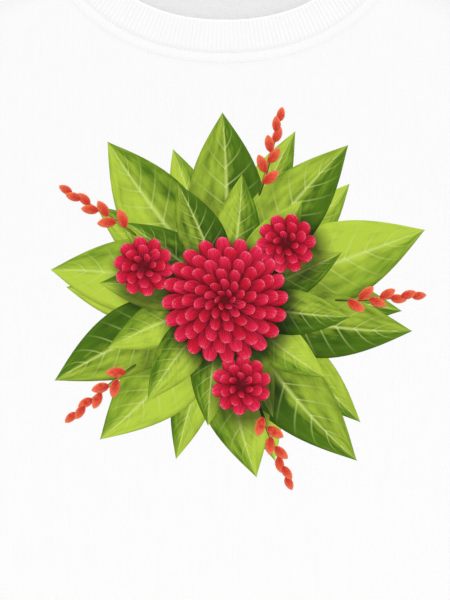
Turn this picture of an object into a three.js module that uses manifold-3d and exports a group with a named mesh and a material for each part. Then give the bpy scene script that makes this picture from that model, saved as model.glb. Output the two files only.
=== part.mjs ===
// Crew-neck sweatshirt, lying flat on its back with its sleeves down at its sides.
// Millimetres, +Z up, +Y towards the collar, +X the wearer's left. The origin is the middle of the
// box that the garment fills, at the level of the surface it lies on.
//
// Every piece of cloth is a thin solid. Its middle surface is a plan patch, drawn between the cut's
// edges, that is lifted by one of two heights: the front layer's or the back layer's. Both heights
// depend only on how far a point lies from the garment's folded edges, where the layers meet. The
// right half is drawn, at positive x, and the left half mirrors it.

import * as THREE from "three";
import { mergeVertices } from "three/addons/utils/BufferGeometryUtils.js";
import Module from "manifold-3d";

const wasm = await Module();
wasm.setup();

// Cloth
const FLEECE = 1.6; // thickness of the body and sleeve cloth
const RIB = 2.4; // thickness of the ribbed collar, cuffs and waistband
const TAPE = 0.9; // thickness of the neck tape
const SEAM_GAP = 0.3; // clearance between two pieces that meet at a seam

// How the two layers lie
const FOLD_HEIGHT = 5.2; // height of the folded edges' middle above the surface
const EDGE_LOFT = 6.4; // rise of the front layer next to a folded edge
const CENTRE_LOFT = 3.6; // rise of the front layer far from any folded edge
const FRONT_ROUND = 32; // width over which the front layer rises from its fold
const BACK_ROUND = 10; // width over which the back layer drops from its fold
const SETTLE_END = 110; // distance from a fold at which the front layer has settled

// Body cut, right half, measured down from the neck points
const NECK_POINT = new THREE.Vector2(116, 0);
const SHOULDER_TIP = new THREE.Vector2(240, -46);
const UNDERARM = new THREE.Vector2(270, -290);
const WAIST_SEAM_Y = -625;
const HEM_Y = -690;
const WAIST_SEAM_HALF = 246;
const HEM_HALF = 240;
const BLOUSE_HALF = 264; // half width of the body just above the waistband
const BLOUSE_RISE = 30; // how far above the waistband that width is reached
const FRONT_NECK_DROP = 86.4;
const BACK_NECK_DROP = 20;
const NECKBAND_WIDTH = 20;

// Sleeve and cuff, right half
const CUFF_SEAM = new THREE.Vector2(418, -538); // middle of the seam between sleeve and cuff
const CUFF_ANGLE = THREE.MathUtils.degToRad(14); // how far the sleeve's end leans outwards
const CUFF_LENGTH = 65;
const CUFF_SEAM_HALF = 42;
const CUFF_END_HALF = 40;
const SLEEVE_END_HALF = 55; // half width of the sleeve where it blouses over the cuff
const SLEEVE_BLOUSE = 20; // how far above the cuff that width is reached

// Neck tape
const TAPE_WIDTH = 10;
const TAPE_SETBACK = 1.5; // from the back neck seam to the tape's nearer edge
const TAPE_HALF_ARC = 0.86; // share of the back neckline that each half of the tape covers

const point = (x, y) => new THREE.Vector2(x, y);
const mirrored = (p) => point(-p.x, p.y);
const mix = (a, b, t) => a.clone().lerp(b, t);
const { clamp, lerp, smoothstep } = THREE.MathUtils;

// The direction of the sleeve's end, and the one across it that points outwards.
const along = point(Math.sin(CUFF_ANGLE), -Math.cos(CUFF_ANGLE));
const across = point(Math.cos(CUFF_ANGLE), Math.sin(CUFF_ANGLE));

// A point near the cuff: so far down the sleeve from the cuff seam, and so far out from its middle.
function nearCuff(down, out) {
  return CUFF_SEAM.clone().addScaledVector(along, down).addScaledVector(across, out);
}

// The direction of the shoulder seam towards the neck, and the one square to it.
const shoulderDirection = NECK_POINT.clone().sub(SHOULDER_TIP).normalize();
const squareToShoulder = point(-shoulderDirection.y, shoulderDirection.x);

// A curve round the neck, right half: it starts level on the centre line and ends square to the
// shoulder. The two pulls are the lengths of its handles.
function neckCurve(drop, end, levelPull, squarePull) {
  return new THREE.CubicBezierCurve(
    point(0, -drop),
    point(levelPull, -drop),
    end.clone().addScaledVector(squareToShoulder, squarePull),
    end,
  );
}

// The seam and the neckband's free edge, which folds over in line with the shoulder.
const freeFold = NECK_POINT.clone().addScaledVector(shoulderDirection, NECKBAND_WIDTH);
const frontNeck = {
  seam: neckCurve(FRONT_NECK_DROP, NECK_POINT, 81, 35),
  freeEdge: neckCurve(FRONT_NECK_DROP - NECKBAND_WIDTH, freeFold, 66, 36),
};
const backNeck = {
  seam: neckCurve(BACK_NECK_DROP, NECK_POINT, 58, 17),
  freeEdge: neckCurve(BACK_NECK_DROP - NECKBAND_WIDTH, freeFold, 50, 8),
};

// A point near a neckline, so far from it towards the free edge.
function nearNeck({ seam, freeEdge }, t, reach) {
  return seam.getPointAt(t).lerp(freeEdge.getPointAt(t), reach / NECKBAND_WIDTH);
}

// The other edges of the cut, right half.
const shoulder = new THREE.LineCurve(NECK_POINT, SHOULDER_TIP);
const armhole = new THREE.CubicBezierCurve(UNDERARM, point(226, -264), point(222, -130), SHOULDER_TIP);
const blouse = new THREE.CubicBezierCurve(
  point(WAIST_SEAM_HALF, WAIST_SEAM_Y),
  point(BLOUSE_HALF - 4, WAIST_SEAM_Y + 2),
  point(BLOUSE_HALF, WAIST_SEAM_Y + 12),
  point(BLOUSE_HALF, WAIST_SEAM_Y + BLOUSE_RISE),
);
const sideSeam = new THREE.CubicBezierCurve(
  point(BLOUSE_HALF, WAIST_SEAM_Y + BLOUSE_RISE),
  point(BLOUSE_HALF, -500),
  point(UNDERARM.x, -400),
  UNDERARM,
);
const sleeveTop = new THREE.CubicBezierCurve(
  SHOULDER_TIP,
  point(345, -95),
  point(440, -232),
  nearCuff(-SLEEVE_BLOUSE, SLEEVE_END_HALF),
);
const sleeveTopEnd = new THREE.CubicBezierCurve(
  nearCuff(-SLEEVE_BLOUSE, SLEEVE_END_HALF),
  nearCuff(-SLEEVE_BLOUSE / 3, SLEEVE_END_HALF),
  nearCuff(-1, SLEEVE_END_HALF - 3),
  nearCuff(0, CUFF_SEAM_HALF),
);
const sleeveUnder = new THREE.CubicBezierCurve(
  UNDERARM,
  point(300, -368),
  point(336, -445),
  nearCuff(-SLEEVE_BLOUSE, -SLEEVE_END_HALF),
);
const sleeveUnderEnd = new THREE.CubicBezierCurve(
  nearCuff(-SLEEVE_BLOUSE, -SLEEVE_END_HALF),
  nearCuff(-SLEEVE_BLOUSE / 3, -SLEEVE_END_HALF),
  nearCuff(-1, 3 - SLEEVE_END_HALF),
  nearCuff(0, -CUFF_SEAM_HALF),
);

// Two curves end to end as one, with the join at a share of the whole parameter.
function joined(first, second, join) {
  return (t) => (t <= join ? first(t / join) : second((t - join) / (1 - join)));
}
const evenly = (curve) => (t) => curve.getPointAt(t);

// Folded edges of the right half, where the layers meet. Each line keeps the garment on its left,
// and runs on past the open ends, so that the layers keep their shape there.
const OPEN_END_RUN = 40;
const foldUnder = [
  point(HEM_HALF, HEM_Y - OPEN_END_RUN),
  point(HEM_HALF, HEM_Y),
  ...blouse.getPoints(5),
  ...sideSeam.getPoints(10),
  ...sleeveUnder.getPoints(14),
  ...sleeveUnderEnd.getPoints(5),
  nearCuff(CUFF_LENGTH, -CUFF_END_HALF),
  nearCuff(CUFF_LENGTH + OPEN_END_RUN, -CUFF_END_HALF),
];
const foldOver = [
  nearCuff(CUFF_LENGTH + OPEN_END_RUN, CUFF_END_HALF),
  nearCuff(CUFF_LENGTH, CUFF_END_HALF),
  ...sleeveTopEnd.getPoints(5).reverse(),
  ...sleeveTop.getPoints(16).reverse(),
  NECK_POINT,
  NECK_POINT.clone().addScaledVector(shoulderDirection, NECKBAND_WIDTH + OPEN_END_RUN),
];
const foldEdges = [foldUnder, foldOver].flatMap((line) =>
  line.slice(1).map((end, i) => ({ start: line[i], run: end.clone().sub(line[i]) })),
);

// The nearest point of the folded edges: its distance, and the direction that leaves the garment.
function nearestFold(x, y) {
  const p = point(Math.abs(x), y);
  let distance = Infinity;
  let nearest = null;
  for (const edge of foldEdges) {
    if (edge.run.lengthSq() === 0) continue;
    const share = clamp(p.clone().sub(edge.start).dot(edge.run) / edge.run.lengthSq(), 0, 1);
    const gap = p.distanceTo(edge.start.clone().addScaledVector(edge.run, share));
    if (gap < distance) [distance, nearest] = [gap, edge];
  }
  const away = point(nearest.run.y * (x < 0 ? -1 : 1), -nearest.run.x).normalize();
  return { distance, away };
}

// A quarter ellipse: 0 at the fold, 1 from the given width on.
const rounded = (distance, width) => Math.sqrt(1 - (1 - clamp(distance / width, 0, 1)) ** 2);

// The two layers' middle surfaces. The front layer faces up and the back layer faces down.
const front = {
  facing: 1,
  height(distance) {
    const loft = EDGE_LOFT + (CENTRE_LOFT - EDGE_LOFT) * smoothstep(distance, FRONT_ROUND, SETTLE_END);
    return FOLD_HEIGHT + loft * rounded(distance, FRONT_ROUND);
  },
};
const back = (thickness) => ({
  facing: -1,
  height: (distance) => FOLD_HEIGHT - (FOLD_HEIGHT - thickness / 2) * rounded(distance, BACK_ROUND),
});

// A plan point lifted onto a layer, with the layer's outward normal. On a fold the normal is level.
const STEP = 0.02;
function onLayer(layer, p) {
  const heightAt = (dx, dy) => layer.height(nearestFold(p.x + dx, p.y + dy).distance);
  const { distance, away } = nearestFold(p.x, p.y);
  const at = new THREE.Vector3(p.x, p.y, layer.height(distance));
  if (distance < STEP) return { at, normal: new THREE.Vector3(away.x, away.y, 0) };
  const slopeX = (heightAt(STEP, 0) - heightAt(-STEP, 0)) / (2 * STEP);
  const slopeY = (heightAt(0, STEP) - heightAt(0, -STEP)) / (2 * STEP);
  const normal = new THREE.Vector3(-slopeX, -slopeY, 1).multiplyScalar(layer.facing).normalize();
  return { at, normal };
}

// A closed solid from rows of middle-surface points, offset half the thickness both ways. A row may
// close on itself, as round a tube. Rows and their ends that stay open get a rim.
function clothSolid(rows, thickness, { ring = false } = {}) {
  const [high, wide] = [rows.length, rows[0].length];
  const positions = [];
  for (const side of [0.5, -0.5])
    for (const row of rows)
      for (const { at, normal } of row)
        positions.push(...at.clone().addScaledVector(normal, side * thickness));
  const outer = (i, j) => j * wide + (i % wide);
  const inner = (i, j) => high * wide + outer(i, j);
  const index = [];
  const quad = (a, b, c, d) => index.push(a, b, c, a, c, d);
  const spans = ring ? wide : wide - 1;
  for (let i = 0; i < spans; i++) {
    for (let j = 0; j < high - 1; j++) {
      quad(outer(i, j), outer(i + 1, j), outer(i + 1, j + 1), outer(i, j + 1));
      quad(inner(i, j), inner(i, j + 1), inner(i + 1, j + 1), inner(i + 1, j));
    }
    quad(inner(i, 0), inner(i + 1, 0), outer(i + 1, 0), outer(i, 0));
    quad(outer(i, high - 1), outer(i + 1, high - 1), inner(i + 1, high - 1), inner(i, high - 1));
  }
  for (let j = 0; !ring && j < high - 1; j++) {
    quad(outer(0, j), outer(0, j + 1), inner(0, j + 1), inner(0, j));
    quad(inner(spans, j), inner(spans, j + 1), outer(spans, j + 1), outer(spans, j));
  }
  const geometry = new THREE.BufferGeometry();
  geometry.setAttribute("position", new THREE.Float32BufferAttribute(positions, 3));
  geometry.setIndex(index);
  return solidOf(geometry);
}

// A solid from a closed geometry, turned the right way out.
function solidOf(geometry) {
  for (const name of ["normal", "uv"]) geometry.deleteAttribute(name);
  const merged = mergeVertices(geometry, 1e-4);
  const vertProperties = new Float32Array(merged.attributes.position.array);
  const triVerts = new Uint32Array(merged.index.array);
  const solidWith = (triangles) =>
    new wasm.Manifold(new wasm.Mesh({ numProp: 3, vertProperties, triVerts: triangles }));
  const solid = solidWith(triVerts);
  return solid.volume() > 0 ? solid : solidWith(triVerts.toReversed());
}

// A solid over a plan outline, from one height to another.
function prism(outline, low, high) {
  const settings = { depth: high - low, bevelEnabled: false };
  return solidOf(new THREE.ExtrudeGeometry(new THREE.Shape(outline), settings).translate(0, 0, low));
}

// A plan patch between four edges: bottom and top run from left to right, left and right run up.
function patch(bottom, top, left, right) {
  return (u, v) => {
    const ruled = mix(bottom(u), top(u), v).add(mix(left(v), right(v), u));
    const corners = mix(mix(bottom(0), bottom(1), u), mix(top(0), top(1), u), v);
    return ruled.sub(corners);
  };
}

// Half of a body panel runs from the centre line to the side seam and armhole, and from the
// waistband seam up to the neckline and shoulder.
const NECK_SHARE = 0.55;
const SIDE_SHARE = 0.6;
const BLOUSE_SHARE = 0.08;
function halfPanel(neck) {
  const waist = new THREE.LineCurve(point(0, WAIST_SEAM_Y), point(WAIST_SEAM_HALF, WAIST_SEAM_Y));
  const neckEdge = (t) => nearNeck(neck, t, -SEAM_GAP / 2);
  const centre = new THREE.LineCurve(point(0, WAIST_SEAM_Y), neckEdge(0));
  const top = joined(neckEdge, evenly(shoulder), NECK_SHARE);
  const side = joined(evenly(blouse), evenly(sideSeam), BLOUSE_SHARE);
  return patch(evenly(waist), top, evenly(centre), joined(side, evenly(armhole), SIDE_SHARE));
}

// Where a panel's columns and rows lie: they crowd towards the folds and the curved edges.
const NECK_SHARES = [0, 0.15, 0.3, 0.45, 0.6, 0.74, 0.86, 0.94, 0.98, 1];
const SHOULDER_COLUMNS = [0.64, 0.76, 0.86, 0.93, 0.97, 0.99, 1];
const PANEL_COLUMNS = [...NECK_SHARES.map((t) => t * NECK_SHARE), ...SHOULDER_COLUMNS];
const SIDE_ROWS = [0, 0.025, 0.05, 0.12, 0.24, 0.36, 0.48, SIDE_SHARE];
const ARMHOLE_ROWS = [0.7, 0.8, 0.88, 0.94, 0.975, 0.992, 1];
const PANEL_ROWS = [...SIDE_ROWS, ...ARMHOLE_ROWS];
function bodyPanel(neck, layer) {
  const half = halfPanel(neck);
  const columns = [...PANEL_COLUMNS.slice(1).reverse().map((u) => -u), ...PANEL_COLUMNS];
  const rows = PANEL_ROWS.map((v) =>
    columns.map((u) => {
      const p = half(Math.abs(u), v);
      return onLayer(layer, u < 0 ? mirrored(p) : p);
    }),
  );
  const arm = armSide(-SEAM_GAP / 2);
  const panel = clothSolid(rows, FLEECE).subtract(arm).subtract(arm.mirror([1, 0, 0]));
  return splitAtFold(panel.trimByPlane([0, 1, 0], WAIST_SEAM_Y + SEAM_GAP / 2), layer);
}

// The line between body and sleeve, run on past the shoulder tip and down the notch under the arm.
// Everything on the sleeve's side of it is one prism. A shift towards the sleeve moves it.
const FAR = 900;
const pastShoulder = SHOULDER_TIP.clone().add(point(14, 36));
const inNotch = UNDERARM.clone().add(point(5, -32));
const belowNotch = point(UNDERARM.x + 30, HEM_Y);
const towardsSleeve = point(0.95, 0.3);
function armSide(shift) {
  const line = [pastShoulder, ...armhole.getPoints(14).reverse(), inNotch, belowNotch];
  const outline = [...line, point(FAR, HEM_Y), point(FAR, -HEM_Y)];
  const moved = outline.map((p) => p.clone().addScaledVector(towardsSleeve, shift));
  return prism(moved, -FAR, FAR);
}

// A layer's part of a fold stops half a seam gap above or below the fold's middle.
function splitAtFold(solid, { facing }) {
  return solid.trimByPlane([0, 0, facing], facing * FOLD_HEIGHT + SEAM_GAP / 2);
}

// Sleeve: u runs from the top fold to the underarm seam, v from the armhole down to the cuff seam.
// Its plan starts inside the body and is cut off along the armhole, because the notch under the arm
// would fold a plan that started on that line. The front and back halves are two pieces.
const FOLD_TO_FOLD = [0, 0.012, 0.05, 0.12, 0.25, 0.5, 0.75, 0.88, 0.95, 0.988, 1];
const UNDERARM_SHARE = 0.12;
const SLEEVE_END_SHARE = 0.95;
const ARM_ROWS = [0, 0.06, UNDERARM_SHARE, 0.18, 0.28, 0.4, 0.54, 0.68, 0.8, 0.9];
const SLEEVE_ROWS = [...ARM_ROWS, SLEEVE_END_SHARE, 0.975, 1];
const insideBody = UNDERARM.clone().add(point(-55, 28));
const bodySide = new THREE.CubicBezierCurve(SHOULDER_TIP, point(212, -130), point(205, -220), insideBody);
const underarm = new THREE.LineCurve(insideBody, UNDERARM);
const cuffLine = new THREE.LineCurve(nearCuff(0, CUFF_SEAM_HALF), nearCuff(0, -CUFF_SEAM_HALF));
const belowUnderarm = (SLEEVE_END_SHARE - UNDERARM_SHARE) / (1 - UNDERARM_SHARE);
const underEdge = joined(evenly(sleeveUnder), evenly(sleeveUnderEnd), belowUnderarm);
const sleevePlan = patch(
  evenly(bodySide),
  evenly(cuffLine),
  joined(evenly(sleeveTop), evenly(sleeveTopEnd), SLEEVE_END_SHARE),
  joined(evenly(underarm), underEdge, UNDERARM_SHARE),
);
function sleeve(layer) {
  const rows = SLEEVE_ROWS.map((v) => FOLD_TO_FOLD.map((u) => onLayer(layer, sleevePlan(u, v))));
  const half = clothSolid(rows, FLEECE).intersect(armSide(SEAM_GAP / 2));
  const aboveCuff = half.trimByPlane([-along.x, -along.y, 0], -along.dot(CUFF_SEAM) + SEAM_GAP / 2);
  return splitAtFold(aboveCuff, layer);
}

// A ribbed tube lying flat: one plan for both layers, joined along the folds at u = 0 and u = 1.
const TUBE_ROWS = [0, 0.5, 1];
function flatTube(plan) {
  const rows = TUBE_ROWS.map((v) => [
    ...FOLD_TO_FOLD.map((u) => onLayer(front, plan(u, v))),
    ...FOLD_TO_FOLD.slice(1, -1).toReversed().map((u) => onLayer(back(RIB), plan(u, v))),
  ]);
  return clothSolid(rows, RIB, { ring: true });
}

// Cuff: u as the sleeve, v from the cuff seam to the open end.
function cuff() {
  const plan = (u, v) => nearCuff(v * CUFF_LENGTH, lerp(CUFF_SEAM_HALF, CUFF_END_HALF, v) * (1 - 2 * u));
  return flatTube(plan).trimByPlane([along.x, along.y, 0], along.dot(CUFF_SEAM) + SEAM_GAP / 2);
}

// Waistband: u from one side fold to the other, v from the waistband seam to the hem. The columns
// next to the folds keep the spacing that they have on a sleeve.
function waistband() {
  const narrow = SLEEVE_END_HALF / WAIST_SEAM_HALF;
  const crowd = (u) => (u <= 0.5 ? u * lerp(narrow, 1, (2 * u) ** 2) : 1 - crowd(1 - u));
  const plan = (u, v) => {
    const half = lerp(WAIST_SEAM_HALF, HEM_HALF, v);
    return point(half * (2 * crowd(u) - 1), lerp(WAIST_SEAM_Y, HEM_Y, v));
  };
  return flatTube(plan).trimByPlane([0, -1, 0], -WAIST_SEAM_Y + SEAM_GAP / 2);
}

// Neckband: a ring that runs round the front neckline on the front layer, folds over at the neck
// points and comes back along the back neckline on the back layer. Its rows go from the seam to
// the free edge.
const BAND_ROWS = [SEAM_GAP / 2, NECKBAND_WIDTH / 2, NECKBAND_WIDTH];
function neckband() {
  const rows = BAND_ROWS.map((reach) => {
    const frontHalf = NECK_SHARES.map((t) => nearNeck(frontNeck, t, reach));
    const backHalf = NECK_SHARES.slice(0, -1).map((t) => nearNeck(backNeck, t, reach));
    const frontRow = [...frontHalf, ...frontHalf.slice(1).map(mirrored).reverse()];
    const backRow = [...backHalf.toReversed(), ...backHalf.slice(1).map(mirrored)];
    const onFront = frontRow.map((p) => onLayer(front, p));
    const onBack = backRow.map((p) => onLayer(back(RIB), p));
    const rightEnd = NECK_SHARES.length;
    return [...onFront.slice(0, rightEnd), ...onBack, ...onFront.slice(rightEnd)];
  });
  return clothSolid(rows, RIB, { ring: true });
}

// Neck tape: a strip on the inner face of the back panel, along the back neck seam.
const TAPE_SHARES = [1, 0.85, 0.7, 0.53, 0.36, 0.18];
function neckTape() {
  const lift = FLEECE / 2 + SEAM_GAP + TAPE / 2;
  const rows = [TAPE_SETBACK, TAPE_SETBACK + TAPE_WIDTH].map((reach) => {
    const half = TAPE_SHARES.map((share) => nearNeck(backNeck, share * TAPE_HALF_ARC, -reach));
    const row = [...half, nearNeck(backNeck, 0, -reach), ...half.map(mirrored).reverse()];
    return row.map((p) => {
      const { at, normal } = onLayer(back(FLEECE), p);
      return { at: at.addScaledVector(normal, -lift), normal };
    });
  });
  return clothSolid(rows, TAPE);
}

function clothMaterial(color, roughness) {
  return new THREE.MeshStandardMaterial({ color, roughness, metalness: 0 });
}
const fleece = clothMaterial(0xf8f8f7, 0.95);
const rib = clothMaterial(0xf9f9f8, 0.92);
const tape = clothMaterial(0xf0f0ee, 0.85);

function piece(name, solid, material) {
  const { vertProperties, triVerts } = solid.getMesh();
  const geometry = new THREE.BufferGeometry();
  geometry.setAttribute("position", new THREE.BufferAttribute(vertProperties, 3));
  geometry.setIndex(new THREE.BufferAttribute(triVerts, 1));
  geometry.computeVertexNormals();
  const mesh = new THREE.Mesh(geometry, material);
  mesh.name = name;
  return mesh;
}

function arm(side) {
  const group = new THREE.Group();
  group.add(piece(`sleeve_${side}_front`, sleeve(front), fleece));
  group.add(piece(`sleeve_${side}_back`, sleeve(back(FLEECE)), fleece));
  group.add(piece(`cuff_${side}`, cuff(), rib));
  return group;
}

const garment = new THREE.Group();
garment.add(piece("front_panel", bodyPanel(frontNeck, front), fleece));
garment.add(piece("back_panel", bodyPanel(backNeck, back(FLEECE)), fleece));
garment.add(piece("waistband", waistband(), rib));
garment.add(piece("neckband", neckband(), rib));
garment.add(piece("neck_tape", neckTape(), tape));
garment.add(arm("left"));
const rightArm = arm("right");
rightArm.scale.x = -1;
garment.add(rightArm);

// The origin is the middle of the box, at the level the garment rests on.
const box = new THREE.Box3().setFromObject(garment, true);
const middle = box.getCenter(new THREE.Vector3());
garment.position.set(-middle.x, -middle.y, -box.min.z);

const sweatshirt = new THREE.Group();
sweatshirt.add(garment);
export default sweatshirt;
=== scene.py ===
"""Looks of a white crew-neck sweatshirt that lies flat on its back, seen from straight above.

The shape functions work in the cut's own plan, in millimetres: x to the right from the centre line,
y up from the level of the neck points, z up from the surface. Every piece of cloth is a middle
surface, worked out as rows of points, that is thickened along its normals.
"""

from itertools import product

import bpy
import numpy as np
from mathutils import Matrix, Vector


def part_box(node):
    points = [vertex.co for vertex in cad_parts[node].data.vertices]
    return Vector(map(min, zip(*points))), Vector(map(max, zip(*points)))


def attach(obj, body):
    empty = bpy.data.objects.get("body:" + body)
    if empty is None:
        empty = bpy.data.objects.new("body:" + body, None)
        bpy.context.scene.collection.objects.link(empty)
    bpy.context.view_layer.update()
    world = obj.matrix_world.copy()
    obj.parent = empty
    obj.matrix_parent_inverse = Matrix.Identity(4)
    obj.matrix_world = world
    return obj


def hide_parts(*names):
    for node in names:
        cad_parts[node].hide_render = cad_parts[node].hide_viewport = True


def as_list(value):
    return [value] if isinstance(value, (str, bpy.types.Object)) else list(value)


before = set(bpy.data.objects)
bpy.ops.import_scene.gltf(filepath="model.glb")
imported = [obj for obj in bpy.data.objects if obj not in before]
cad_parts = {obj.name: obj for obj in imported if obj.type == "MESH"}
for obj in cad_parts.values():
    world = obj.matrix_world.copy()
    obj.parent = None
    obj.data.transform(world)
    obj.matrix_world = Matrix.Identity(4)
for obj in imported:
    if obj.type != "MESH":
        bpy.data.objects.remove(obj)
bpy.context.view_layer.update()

MM = 0.001

# Cloth
FLEECE = 1.6
RIB = 2.4
TAPE = 0.9
SEAM_TUCK = 0.04  # how far the two sides of a seam press into each other
SHEET_GAP = 0.1  # between the front and back layers where they meet at a fold

# Heights of the two layers' middle surfaces
FOLD_HEIGHT = 5.2
EDGE_LOFT = 6.4
CENTRE_LOFT = 3.6
FRONT_ROUND = 32
BACK_ROUND = 10
SETTLE_END = 110

# Cut of the body, right half
NECK_POINT = np.array([116.0, 0.0])
SHOULDER_TIP = np.array([240.0, -46.0])
UNDERARM = np.array([270.0, -290.0])
WAIST_SEAM_Y = -625
HEM_Y = -690
WAIST_SEAM_HALF = 246
HEM_HALF = 240
BLOUSE_HALF = 264
BLOUSE_RISE = 30
FRONT_NECK_DROP = 86.4
BACK_NECK_DROP = 20
NECKBAND_WIDTH = 20

# Cut of the sleeve and cuff, right half
CUFF_SEAM = np.array([418.0, -538.0])
CUFF_ANGLE = np.radians(14)
CUFF_LENGTH = 65
CUFF_SEAM_HALF = 42
CUFF_END_HALF = 40
SLEEVE_END_HALF = 55
SLEEVE_BLOUSE = 20

# The plan's y = 0 in the frame
PATTERN_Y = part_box("waistband")[0].y / MM - HEM_Y

# The height that the photograph shows: 600 pixels at 0.6 mm
VIEW_HEIGHT = 360
VIEW_CENTRE_Y = -235


def smooth(x, low, high):
    """3t^2 - 2t^3, where t goes from 0 at low to 1 at high."""
    t = np.clip((x - low) / (high - low), 0, 1)
    return t * t * (3 - 2 * t)


def mix(a, b, t):
    """a where t is 0, b where t is 1, and in between by share."""
    return a + (b - a) * t


def bell(x, centre, width):
    """1 at the centre, falling as exp(-(distance / width)^2)."""
    return np.exp(-(((x - centre) / width) ** 2))


def hills(plan, seed, count, shortest, longest):
    """Sum of seeded sine waves of many directions and wavelengths, of about unit size."""
    draw = np.random.default_rng(seed)
    wavelength = np.exp(draw.uniform(np.log(shortest), np.log(longest), count))
    heading, phase = draw.uniform(0, 2 * np.pi, (2, count))
    across = plan[..., :1] * np.cos(heading) + plan[..., 1:2] * np.sin(heading)
    return np.sin(2 * np.pi * across / wavelength + phase).sum(-1) / np.sqrt(count / 2)


class Edge:
    """An edge of the cut: a row of plan points that is read by the share of its length."""

    def __init__(self, *runs):
        self.points = np.vstack(runs).astype(float)
        steps = np.linalg.norm(np.diff(self.points, axis=0), axis=1)
        self.reach = np.concatenate([[0], np.cumsum(steps)])
        self.length = self.reach[-1]

    def at(self, share):
        """The plan point at a share of the length."""
        run = np.asarray(share) * self.length
        return np.stack([np.interp(run, self.reach, axis) for axis in self.points.T], -1)


def bezier(start, pull, push, end, count=61):
    """Points of the cubic curve (1-t)^3 start + 3(1-t)^2 t pull + 3(1-t)t^2 push + t^3 end."""
    t = np.linspace(0, 1, count)[:, None]
    start, pull, push, end = (np.asarray(p, float) for p in (start, pull, push, end))
    return (1 - t) ** 3 * start + 3 * (1 - t) ** 2 * t * pull + 3 * (1 - t) * t**2 * push + t**3 * end


ALONG_CUFF = np.array([np.sin(CUFF_ANGLE), -np.cos(CUFF_ANGLE)])
ACROSS_CUFF = np.array([np.cos(CUFF_ANGLE), np.sin(CUFF_ANGLE)])


def near_cuff(down, out):
    """A plan point so far down the sleeve from the cuff seam, and so far out from its middle."""
    return CUFF_SEAM + np.multiply.outer(down, ALONG_CUFF) + np.multiply.outer(out, ACROSS_CUFF)


SHOULDER_LINE = (NECK_POINT - SHOULDER_TIP) / np.linalg.norm(NECK_POINT - SHOULDER_TIP)
SQUARE_TO_SHOULDER = np.array([-SHOULDER_LINE[1], SHOULDER_LINE[0]])


def neck_curve(drop, end, level_pull, square_pull):
    """A curve round the neck that starts level on the centre line and ends square to the shoulder."""
    return Edge(bezier((0, -drop), (level_pull, -drop), end + square_pull * SQUARE_TO_SHOULDER, end))


FREE_FOLD = NECK_POINT + NECKBAND_WIDTH * SHOULDER_LINE
FRONT_NECK = (
    neck_curve(FRONT_NECK_DROP, NECK_POINT, 81, 35),
    neck_curve(FRONT_NECK_DROP - NECKBAND_WIDTH, FREE_FOLD, 66, 36),
)
BACK_NECK = (
    neck_curve(BACK_NECK_DROP, NECK_POINT, 58, 17),
    neck_curve(BACK_NECK_DROP - NECKBAND_WIDTH, FREE_FOLD, 50, 8),
)


def near_neck(neck, share, reach):
    """A plan point near a neckline: from the seam towards the neckband's free edge by reach."""
    seam, free = (edge.at(share) for edge in neck)
    return mix(seam, free, (np.asarray(reach) / NECKBAND_WIDTH)[..., None])


armhole = Edge(bezier(UNDERARM, (226, -264), (222, -130), SHOULDER_TIP))
blouse = bezier(
    (WAIST_SEAM_HALF, WAIST_SEAM_Y),
    (BLOUSE_HALF - 4, WAIST_SEAM_Y + 2),
    (BLOUSE_HALF, WAIST_SEAM_Y + 12),
    (BLOUSE_HALF, WAIST_SEAM_Y + BLOUSE_RISE),
)
side_seam = bezier(
    (BLOUSE_HALF, WAIST_SEAM_Y + BLOUSE_RISE), (BLOUSE_HALF, -500), (UNDERARM[0], -400), UNDERARM
)
sleeve_top = bezier(
    SHOULDER_TIP, (345, -95), (440, -232), near_cuff(-SLEEVE_BLOUSE, SLEEVE_END_HALF)
)
sleeve_under = bezier(
    UNDERARM, (300, -368), (336, -445), near_cuff(-SLEEVE_BLOUSE, -SLEEVE_END_HALF)
)


def sleeve_end(side):
    """The short curve in which the sleeve's edge turns in to the cuff, on one side of its middle."""
    return bezier(
        near_cuff(-SLEEVE_BLOUSE, side * SLEEVE_END_HALF),
        near_cuff(-SLEEVE_BLOUSE / 3, side * SLEEVE_END_HALF),
        near_cuff(-1, side * (SLEEVE_END_HALF - 3)),
        near_cuff(0, side * CUFF_SEAM_HALF),
    )


OPEN_END_RUN = 40
fold_under = Edge(
    [(HEM_HALF, HEM_Y - OPEN_END_RUN), (HEM_HALF, HEM_Y)],
    blouse,
    side_seam[1:],
    sleeve_under[1:],
    sleeve_end(-1)[1:],
    [near_cuff(CUFF_LENGTH, -CUFF_END_HALF), near_cuff(CUFF_LENGTH + OPEN_END_RUN, -CUFF_END_HALF)],
)
fold_over = Edge(
    [near_cuff(CUFF_LENGTH + OPEN_END_RUN, CUFF_END_HALF), near_cuff(CUFF_LENGTH, CUFF_END_HALF)],
    sleeve_end(1)[::-1],
    sleeve_top[-2::-1],
    [NECK_POINT, NECK_POINT + (NECKBAND_WIDTH + OPEN_END_RUN) * SHOULDER_LINE],
)
waist_seam = Edge([(0, WAIST_SEAM_Y), (WAIST_SEAM_HALF, WAIST_SEAM_Y)])
cuff_seam = Edge([near_cuff(0, CUFF_SEAM_HALF), near_cuff(0, -CUFF_SEAM_HALF)])


def distance(plan, edge, chunk=20000):
    """Distance from plan points to an edge of the right half, which the left half mirrors."""
    start = edge.points[:-1]
    run = np.diff(edge.points, axis=0)
    square = np.maximum((run**2).sum(1), 1e-12)
    flat = np.stack([np.abs(plan[..., 0]).ravel(), plan[..., 1].ravel()], -1)
    nearest = np.empty(len(flat))
    for first in range(0, len(flat), chunk):
        part = slice(first, first + chunk)
        dx = flat[part, :1] - start[:, 0]
        dy = flat[part, 1:] - start[:, 1]
        share = np.clip((dx * run[:, 0] + dy * run[:, 1]) / square, 0, 1)
        nearest[part] = np.hypot(dx - share * run[:, 0], dy - share * run[:, 1]).min(1)
    return nearest.reshape(plan.shape[:-1])


def fold_distance(plan):
    """Distance to the nearest folded edge."""
    return np.minimum(distance(plan, fold_under), distance(plan, fold_over))


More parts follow.
